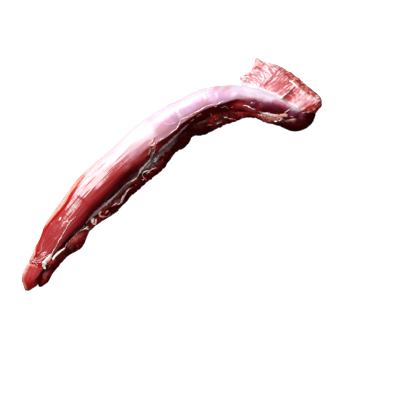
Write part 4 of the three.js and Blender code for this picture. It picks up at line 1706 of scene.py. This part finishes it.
STRANDS: tuple[Strand, ...] = (
    # The tail's tendon: a thick cream root, hooked at its end, that thins to a long white thread.
    strip(FAT, 0.55, 28, (-161.2, -31, 0.8, 0.2), (-162, -28.8, 1.6, 0.5), (-160.2, -26.6, 2.3, 0.6),
        (-157, -25, 2.2, 0.6), (-153, -24, 1.6, 0.5), (-147, -22, 0.8, 0.2)),
    cord(SINEW, (-152, -23.6, 0.7, 0.3), (-145, -21, 0.55, 0.3), (-138, -17.2, 0.45, 0.3),
        (-130, -13.2, 0.5, 0.3), (-122, -9.2, 0.5, 0.3), (-116, -6.4, 0.4, 0.3), (-110, -4.6, 0.35, 0.2),
        (-106, -4, 0.2, 0.1)),
    strip(SHRED, 0.4, 20, (-157, -27.6, 0.4, 0.4), (-154.6, -26.2, 0.7, 0.6), (-151.6, -25.4, 0.6, 0.6),
        (-149, -25.2, 0.3, 0.3)),
    strip(FAT, 0.55, 24, (-150.6, -28, 0.6, 0.1), (-149, -26.8, 1.1, 0.5), (-145, -25.1, 1.1, 0.5),
        (-139, -24.5, 1.0, 0.5), (-133, -24, 0.5, 0.3)),
    strip(FAT, 0.2, 20, (-123.2, 1.6, 0.3, 0.1), (-121.2, 2.2, 0.9, 0.15), (-119, 3.4, 0.5, 0.1)),
    # The waist's white fibres, and the curl above them.
    cord(SHRED, (-172, -16.6, 0.2, 0.1), (-168, -19, 0.4, 0.2), (-163.4, -22, 0.4, 0.2),
        (-159, -24, 0.3, 0.1)),
    cord(SHRED, (-170, -15.4, 0.2, 0), (-165, -17.2, 0.4, 0.2), (-158, -18.4, 0.3, 0.1),
        (-151, -18.2, 0.2, 0)),
    cord(SINEW, (-168, -18, 0.2, 0), (-161, -20.4, 0.3, 0.2), (-155, -21, 0.4, 0.2), (-149, -21.6, 0.2, 0)),
    cord(SINEW, (-169, -16.6, 0.3, 0.1), (-167.4, -20, 0.5, 0.3), (-165.6, -23.6, 0.3, 0.1)),
    cord(SINEW, (-158.6, -17, 0.3, 0.2), (-154.6, -16.6, 0.6, 0.3), (-151.4, -18.6, 0.4, 0.2)),
    cord(SHRED, (-160, -13.2, 0.4, 0.2), (-156, -13.8, 0.6, 0.3), (-153, -12.4, 0.6, 0.3),
        (-151, -9, 0.4, 0.2), (-146, -5.8, 0.3, 0.1)),
    # Films and curls along the tail's strap.
    strip(SHRED, 0.16, 20, (-122.4, -4.6, 0.4, 0), (-119.6, -2.8, 1.4, 0.2), (-117, -3, 1.5, 0.2),
        (-114.6, -5, 0.7, 0.1)),
    cord(SHRED, (-134, -23.4, 0.25, 0.1), (-128, -21.4, 0.35, 0.3), (-120, -19.4, 0.3, 0.3),
        (-113, -18, 0.3, 0.3), (-105, -16.4, 0.25, 0.1)),
    cord(SINEW, (-112, -18.4, 0.3, 0.2), (-108, -18.6, 0.6, 0.5), (-105.4, -19.8, 0.7, 0.6),
        (-103.6, -21.8, 0.4, 0.1)),
    cord(SINEW, (-106, -19.2, 0.4, 0.6), (-103.6, -18.4, 0.6, 1.0), (-102.4, -19.8, 0.4, 0.5)),
    cord(SINEW, (-92.6, -15.6, 0.6, 0.6), (-95, -16, 0.9, 1.0), (-96.6, -18, 0.85, 1.0),
        (-96.4, -20, 0.7, 0.7), (-94.2, -20, 0.7, 0.7), (-92.6, -18.4, 0.9, 1.1), (-92, -16.4, 0.6, 0.9),
        pale=0.35),
    cord(SHRED, (-82.4, -13.6, 0.6, 0.3), (-85.4, -14.4, 0.9, 0.7), (-86.6, -16.5, 0.9, 0.7),
        (-84.6, -18.6, 0.8, 0.5), (-82, -20.8, 0.5, 0.2), pale=0.4),
    cord(SHRED, (-81, -17.8, 0.4, 0.3), (-79, -16.8, 0.7, 0.5), (-76.4, -16.6, 0.5, 0.2)),
    cord(SHRED, (-82, -20.2, 0.4, 0.3), (-79, -20.6, 0.5, 0.4), (-76, -19.6, 0.4, 0.2)),
    cord(SHRED, (-72, -15, 0.3, 0.2), (-68, -15.2, 0.5, 0.3), (-64, -14.6, 0.3, 0.2)),
    strip(SINEW, 0.4, 20, (-66, -14.8, 0.3, 0.3), (-64.6, -16.6, 0.6, 0.5), (-61, -16.6, 0.9, 0.6),
        (-58, -14.4, 0.9, 0.6), (-54, -12.2, 0.8, 0.5), (-49, -10.2, 0.6, 0.4), (-45.6, -9.8, 0.2, 0.1),
        pale=0.7),
    # The seam's cord and the shreds beside it.
    strip(SINEW, 0.4, 20, (-46.6, -4, 0.4, 0.4), (-43.5, -4.2, 0.8, 0.5), (-39, -4.6, 0.7, 0.4),
        (-35, -4.2, 0.6, 0.4), (-31, -2.4, 0.5, 0.4), pale=0.65),
    strip(SINEW, 0.4, 20, (-32, -2.8, 0.4, 0.3), (-27, -0.6, 1.2, 0.5), (-22, 1.0, 1.1, 0.5),
        (-16, 2.4, 0.8, 0.4), (-11, 4.8, 0.6, 0.4), (-4, 8.4, 0.3, 0.2), pale=0.1),
    cord(SINEW, (-28.4, -4.6, 0.3, 0.4), (-25.6, -3.9, 0.6, 0.6), (-22.4, -4.3, 0.6, 0.6),
        (-20, -5.2, 0.2, 0.3)),
    cord(SHRED, (-25, -7, 0.3, 0.3), (-20, -6.1, 0.7, 0.6), (-16, -6, 0.7, 0.6), (-12.8, -7, 0.3, 0.2)),
    cord(SHRED, (-28.6, -5, 0.3, 0.3), (-28.9, -8, 0.4, 0.4), (-28.2, -12.4, 0.3, 0.1)),
    cord(SHRED, (-31.4, -9, 0.4, 0.3), (-30.2, -9.8, 0.6, 0.4), (-29.4, -9.4, 0.3, 0.2)),
    # Films over the seam between loin and strap.
    strip(FILM, 0.22, 24, (-103, -15, 0.4, 0), (-92, -12.4, 1.3, 0.4), (-80, -10.4, 1.9, 0.5),
        (-68, -8.8, 1.3, 0.5), (-61, -7.4, 0.6, 0.3), (-52, -5.2, 0.4, 0.2), (-46, -4, 0.5, 0.1), pale=0.9),
    strip(FILM, 0.1, 36, (-34, -2.4, 0.6, 0), (-22, -0.6, 2.4, 0.4), (-10, 1.6, 3.8, 0.5),
        (0, 2.8, 4.2, 0.5), (9, 4.6, 3.8, 0.5), (16, 6.2, 2.8, 0.4), (22, 8.4, 0.8, 0)),
    # This film's pale band is the membrane's lighter edge and partly a painted highlight.
    strip(FILM, 0.3, 20, (-6, 4.8, 0.2, 0.2), (2, 6, 1.1, 0.5), (10, 7, 1.5, 0.6), (17, 8.2, 1.5, 0.7),
        (23, 9.6, 0.6, 0.6), (30, 10.8, 0.8, 0.6), (38, 12, 0.4, 0.2), pale=0.75),
    cord(SHRED, (40, 12.6, 0.3, 0.4), (42, 12.8, 0.6, 0.5), (45, 13, 0.3, 0.3)),
    cord(SHRED, (48, 13.4, 0.3, 0.3), (51, 13.6, 0.6, 0.5), (54, 12.8, 0.3, 0.3)),
    # Curly shreds at the lower end of the silverskin.
    cord(SHRED, (-13, 7.6, 0.4, 0.1), (-8.8, 10.6, 0.7, 0.5), (-7, 13.4, 0.9, 0.7), (-4.6, 16, 1.0, 0.8),
        (-1, 16.6, 0.8, 0.6), (2, 18.8, 0.5, 0.3), (1.6, 20, 0.3, 0.1)),
    cord(SHRED, (-6.6, 10.8, 0.7, 0.5), (-3.4, 11.2, 1.1, 0.8), (-0.6, 12.6, 1.0, 0.7),
        (1.8, 12.6, 0.5, 0.3)),
    cord(SINEW, (-5.6, 14.4, 0.5, 0.5), (-3.2, 13, 0.8, 0.7), (-0.8, 14.6, 0.5, 0.3)),
    cord(SHRED, (-12, 5.8, 0.3, 0.3), (-8.6, 7.4, 0.7, 0.6), (-5.2, 7.8, 0.5, 0.4)),
    # The silverskin's cream cut edges.
    cord(SINEW, (17.5, 25.4, 0.15, 0), (19.5, 22.8, 0.3, 0.2), (23, 20.6, 0.4, 0.3), (28, 19.6, 0.35, 0.3),
        (34, 19.2, 0.4, 0.3), (41, 18.4, 0.35, 0.3), (48, 17.4, 0.5, 0.35), (55, 16.5, 0.74, 0.4),
        (61, 16.5, 0.6, 0.35), (67, 15, 0.3, 0.2), (72, 13.2, 0.15, 0)),
    cord(FAT, (3.4, 13, 0.2, 0.3), (7, 13.4, 0.4, 0.5), (10, 13.2, 0.15, 0.3), (16, 13.4, 0.15, 0.4),
        (20, 13.8, 0.7, 0.6), (24, 14, 0.7, 0.6), (28, 15.6, 0.6, 0.5), (31.4, 17.8, 0.5, 0.4),
        (34, 19.2, 0.2, 0)),
    cord(SHRED, (34, 18.2, 0.2, 0.5), (39, 17.6, 0.4, 0.6), (43, 16.6, 0.6, 0.7), (46, 16.2, 0.3, 0.5)),
    # Shreds and ridges towards the head.
    cord(FAT, (68.2, 12.8, 0.3, 0.5), (69.6, 11.2, 0.7, 0.9), (71.2, 12.4, 0.5, 0.7), (71.8, 11, 0.3, 0.5)),
    cord(FAT, (72.4, 12, 0.3, 0.4), (74.6, 12, 0.5, 0.5), (77, 12.3, 0.35, 0.4), (80, 12.2, 0.2, 0.2)),
    cord(SHRED, (73.4, 8, 0.3, 0.3), (75, 7, 0.5, 0.5), (77.6, 6.6, 0.5, 0.5), (78.4, 4.6, 0.4, 0.4),
        (79, 3, 0.3, 0.3)),
    cord(SHRED, (81.6, 2.6, 0.3, 0.4), (82.8, 2.2, 0.45, 0.5), (84, 2.6, 0.2, 0.3)),
    cord(SHRED, (62, 9, 0.4, 0.4), (61.4, 7.8, 0.6, 0.6), (62.2, 6.6, 0.3, 0.3)),
    cord(SHRED, (52, 0.2, 0.2, 0.3), (55, 0, 0.35, 0.4), (57.4, -2, 0.2, 0.2)),
    cord(SHRED, (61, -3.4, 0.3, 0.3), (64, -3.4, 0.5, 0.4), (67.4, -4.2, 0.3, 0.2)),
    cord(FAT, (70.6, -1.4, 0.3, 0.4), (72, -2.4, 0.7, 0.6), (74, -3.6, 0.3, 0.3)),
    cord(SHRED, (73.6, -4.6, 0.4, 0.3), (76, -6.8, 0.7, 0.5), (78, -8.6, 0.7, 0.5), (79.6, -10, 0.3, 0.2),
        pale=0.5),
    # A white cord along the lobe's ridge: a painted highlight on its upper edge.
    cord(FAT, (92.4, -2.2, 0.3, 0.3), (94.4, -3.2, 0.6, 0.7), (95.8, -5.2, 0.74, 0.8), (97, -7.6, 0.74, 0.7),
        (98.6, -9.8, 0.5, 0.4), (101, -11.8, 0.3, 0.1)),
    # The next two small bits are painted glints, laid as fat and shred.
    cord(FAT, (100.2, -5.2, 0.3, 0.2), (101.4, -4.6, 0.5, 0.4), (102.4, -5, 0.3, 0.2)),
    cord(SHRED, (102, -6.4, 0.25, 0.1), (103.4, -6, 0.4, 0.2), (104.6, -6.8, 0.2, 0.1)),
    strip(SHRED, 0.25, 28, (102.4, -15, 0.3, 0.3), (105.4, -18.8, 0.8, 0.5), (109, -23.4, 1.2, 0.5),
        (114, -27.8, 1.6, 0.5), (119, -31, 2.0, 0.5), (125, -34.8, 1.4, 0.2)),
    strip(FAT, 0.3, 20, (102.6, -15.6, 0.3, 0.2), (106.4, -20, 0.8, 0.6), (109.6, -23, 1.2, 0.7),
        (113.6, -26.6, 1.0, 0.7), (118, -30, 0.4, 0.5)),
    strip(SHRED, 0.3, 20, (118.6, -31.6, 0.3, 0.3), (121, -31.4, 0.7, 0.4), (123.4, -32, 0.7, 0.4),
        (125.4, -34.6, 0.3, 0.2)),
    cord(FAT, (111.4, -31.6, 0.3, 0.2), (112.4, -33.2, 0.55, 0.4), (114, -33.4, 0.3, 0.2)),
    cord(FAT, (114, -33.8, 0.3, 0.2), (116.4, -34.3, 0.6, 0.5), (118.4, -34, 0.3, 0.2)),
    cord(SHRED, (126.6, -36.6, 0.3, 0.2), (128, -38.2, 0.5, 0.3), (129.6, -39.2, 0.3, 0.1)),
    cord(SINEW, (123.6, -30.6, 0.25, 0.3), (128, -30.8, 0.45, 0.4), (132, -30, 0.4, 0.3),
        (135, -29.6, 0.2, 0.1)),
    cord(SHRED, (135.6, -36.8, 0.3, 0.2), (138, -36.6, 0.5, 0.3), (140.6, -37, 0.5, 0.3),
        (143, -37.8, 0.2, 0.1)),
    # The flap's cut edge and its fat.
    cord(SINEW, (128.4, -17.2, 0.3, 0.2), (133, -16.1, 0.5, 0.3), (138, -15.4, 0.5, 0.3),
        (144.4, -14, 0.3, 0.1)),
    strip(FAT, 0.3, 20, (145.4, -6, 0.3, 0.1), (146.6, -7.2, 0.7, 0.2), (148.6, -8.4, 0.45, 0.15),
        (150, -9, 0.25, 0.1)),
    strip(FAT, 0.3, 20, (147, -7.6, 0.4, 0.1), (147.8, -10, 0.6, 0.2), (148, -12.6, 0.35, 0.15),
        (148.8, -14.6, 0.5, 0.2), (149.2, -18, 0.2, 0.1)),
    # Shreds at the flap's foot.
    cord(SHRED, (138.6, -40, 0.3, 0.2), (141, -41.2, 0.5, 0.4), (143.4, -41.2, 0.3, 0.2)),
    cord(FAT, (143.2, -41.8, 0.2, 0.2), (145, -42.8, 0.5, 0.4), (147, -42.6, 0.3, 0.2)),
    cord(SHRED, (149.6, -43.8, 0.3, 0.2), (151.4, -44.2, 0.5, 0.4), (153.6, -43.4, 0.3, 0.2)),
    cord(SHRED, (154.6, -40.2, 0.3, 0.2), (157, -40.6, 0.6, 0.4), (159.6, -39.4, 0.3, 0.2)),
    # Shreds that stand out of the flap's rim.
    rim_shred(141.6, 14.6, 0.9),
    rim_shred(146.4, 9.6, 0.6),
    rim_shred(149.4, 4.4, 1.0),
    rim_shred(152, -3.4, 0.7),
    rim_shred(154.6, -9.6, 1.2),
    rim_shred(156.6, -15.4, 0.7),
    rim_shred(158.6, -22.6, 1.1),
    rim_shred(160.4, -29.4, 0.8),
    rim_shred(161.6, -33.6, 1.0),
)


FINISHES: dict[Tissue, tuple[SinewFinish, Slot]] = {
    SINEW: (SinewFinish("sinew", (0.86, 0.70, 0.66), (0.50, 0.22, 0.20), (0.38, 0.11, 0.10)), Slot.FAT),
    FAT: (SinewFinish("fat", (0.92, 0.82, 0.77), (0.72, 0.42, 0.36), (0.55, 0.20, 0.17)), Slot.FAT),
    SHRED: (SinewFinish("shred", (0.68, 0.33, 0.29), (0.30, 0.032, 0.025), (0.22, 0.014, 0.012)), Slot.FAT),
    FILM: (
        SinewFinish("film", (0.062, 0.019, 0.023), (0.36, 0.215, 0.22), (0.045, 0.003, 0.004), 0.15, 0.15),
        Slot.SILVER,
    ),
}


@dataclass
class Trimmings:
    """Every cord, strip and film, gathered into one piece for each kind."""

    strands: tuple[Strand, ...] = STRANDS
    soften: float = 3.0

    def build(self, ground: Relief) -> list[bpy.types.Object]:
        """Lays all strands on the muscles.

        Args:
            ground: The muscles' relief.

        Returns:
            One object for each kind of tissue.
        """
        soft_ground = ground.softened(self.soften)
        made = []
        for tissue in Tissue:
            own = [strand for strand in self.strands if strand.tissue is tissue]
            shells = [ply for strand in own for ply in strand.shells(ground, soft_ground)]
            finish, slot = FINISHES[tissue]
            made.append(mesh_piece(tissue.value, shells, finish.make()))
        return made


@dataclass
class Fillet:
    """The whole fillet."""

    loin: Loin = field(default_factory=Loin)
    strap: Strap = field(default_factory=Strap)
    flap: Flap = field(default_factory=Flap)
    trimmings: Trimmings = field(default_factory=Trimmings)

    def build(self) -> list[bpy.types.Object]:
        """Builds the muscles first, then what lies on them."""
        shells = [self.loin.sculpted(), self.strap.sculpted(), self.flap.sculpted()]
        pieces = [
            mesh_piece("loin", shells[:1], LoinFinish().make()),
            mesh_piece("side_strap", shells[1:2], StrapFinish().make()),
            mesh_piece("head_flap", shells[2:], FlapFinish().make()),
        ]
        return pieces + self.trimmings.build(Relief.over(shells))


# ---- studio ------------------------------------------------------------------------------------------------


@dataclass(frozen=True)
class Lamp:
    """A round soft light that faces the fillet.

    Attributes:
        name: Its name.
        way: The direction in which it stands.
        distance: How far off it stands, in metres.
        size: Its diameter in metres.
        power: Its power in watts.
        mirrored: Whether wet surfaces show its reflection.
    """

    name: str
    way: tuple[float, float, float]
    distance: float
    size: float
    power: float
    mirrored: bool = True

    def build(self) -> None:
        """Puts the light in place."""
        data = bpy.data.lights.new(self.name, "AREA")
        data.shape, data.size, data.energy = "DISK", self.size, self.power
        lamp = bpy.data.objects.new(self.name, data)
        way = Vector(self.way).normalized()
        lamp.location = way * self.distance
        lamp.rotation_euler = way.to_track_quat("Z", "Y").to_euler()
        lamp.visible_glossy = self.mirrored
        bpy.context.scene.collection.objects.link(lamp)


@dataclass
class Studio:
    """A pale floor, a large soft key light from the bowed side, soft fill, and a camera straight overhead."""

    turn: float = math.radians(-33)
    aim: tuple[float, float, float] = (19.8, -50.04, 15.0)
    frame_width: float = 400.0
    lens: float = 100.0
    sensor: float = 36.0
    lamps: tuple[Lamp, ...] = (
        Lamp("key", (0.015, 0.83, 0.68), 1.0, 0.85, 24.0),
        Lamp("overhead", (0.12, -0.25, 0.96), 1.2, 1.2, 10.5, False),
    )
    fill: float = 0.15
    mirrored_fill: float = 0.02
    floor_tone: float = 0.9
    floor_size: float = 3.0
    floor_drop: float = 0.0003
    floor_grey: Colour = (0.4, 0.4, 0.4)
    floor_roughness: float = 0.9
    room_tone: Colour = (0.95, 0.97, 1.0)

    def build(self) -> None:
        """Makes the camera, the lights and the floor."""
        self._camera()
        for lamp in self.lamps:
            lamp.build()
        self._world()
        self._floor()
        bpy.context.scene.view_settings.view_transform = "Standard"

    def _camera(self) -> None:
        """Puts the camera over its aim, so far up that the frame is as wide as it should be there."""
        data = bpy.data.cameras.new("camera")
        data.lens, data.sensor_width = self.lens, self.sensor
        camera = bpy.data.objects.new("camera", data)
        height = self.frame_width * self.lens / self.sensor
        camera.location = Vector((self.aim[0], self.aim[1], self.aim[2] + height)) * METRE
        camera.rotation_euler = (0.0, 0.0, self.turn)
        bpy.context.scene.collection.objects.link(camera)
        bpy.context.scene.camera = camera

    def _world(self) -> None:
        """Makes the room: dim where it lights the fillet, dimmer in reflections, pale to the camera."""
        world = bpy.data.worlds.new("room")
        world.use_nodes = True
        tree = world.node_tree
        room = tree.nodes["Background"]
        room.inputs["Color"].default_value = (*self.room_tone, 1.0)
        seen = tree.nodes.new("ShaderNodeBackground")
        seen.inputs["Strength"].default_value = 1.0
        seen.inputs["Color"].default_value = (1.0, 1.0, 1.0, 1.0)
        path = tree.nodes.new("ShaderNodeLightPath")
        strength = tree.nodes.new("ShaderNodeMapRange")
        strength.inputs["To Min"].default_value = self.fill
        strength.inputs["To Max"].default_value = self.mirrored_fill
        tree.links.new(path.outputs["Is Glossy Ray"], strength.inputs["Value"])
        tree.links.new(strength.outputs["Result"], room.inputs["Strength"])
        mix = tree.nodes.new("ShaderNodeMixShader")
        tree.links.new(path.outputs["Is Camera Ray"], mix.inputs[0])
        tree.links.new(room.outputs[0], mix.inputs[1])
        tree.links.new(seen.outputs[0], mix.inputs[2])
        tree.links.new(mix.outputs[0], tree.nodes["World Output"].inputs[0])
        bpy.context.scene.world = world

    def _floor(self) -> None:
        """Makes the floor, which takes a faint shadow and throws no light back."""
        size, z = self.floor_size, -self.floor_drop
        corners = [(-size, -size, z), (size, -size, z), (size, size, z), (-size, size, z)]
        mesh = bpy.data.meshes.new("floor")
        mesh.from_pydata(corners, [], [(0, 1, 2, 3)])
        material = bpy.data.materials.new("floor")
        material.use_nodes = True
        shader = material.node_tree.nodes["Principled BSDF"]
        shader.inputs["Base Color"].default_value = (*self.floor_grey, 1.0)
        shader.inputs["Roughness"].default_value = self.floor_roughness
        shader.inputs["Emission Color"].default_value = (1.0, 1.0, 1.0, 1.0)
        shader.inputs["Emission Strength"].default_value = self.floor_tone
        mesh.materials.append(material)
        floor = bpy.data.objects.new("floor", mesh)
        floor.visible_diffuse = False
        floor.visible_glossy = False
        bpy.context.scene.collection.objects.link(floor)


def main() -> None:
    """Loads the frame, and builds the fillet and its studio."""
    logging.basicConfig(level=logging.INFO, format="%(name)s: %(message)s")
    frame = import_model()
    LOG.info("frame with %d nodes", len(frame["nodes"]))
    pieces = Fillet().build()
    LOG.info("%d pieces built", len(pieces))
    Studio().build()


if __name__ == "__main__":
    main()
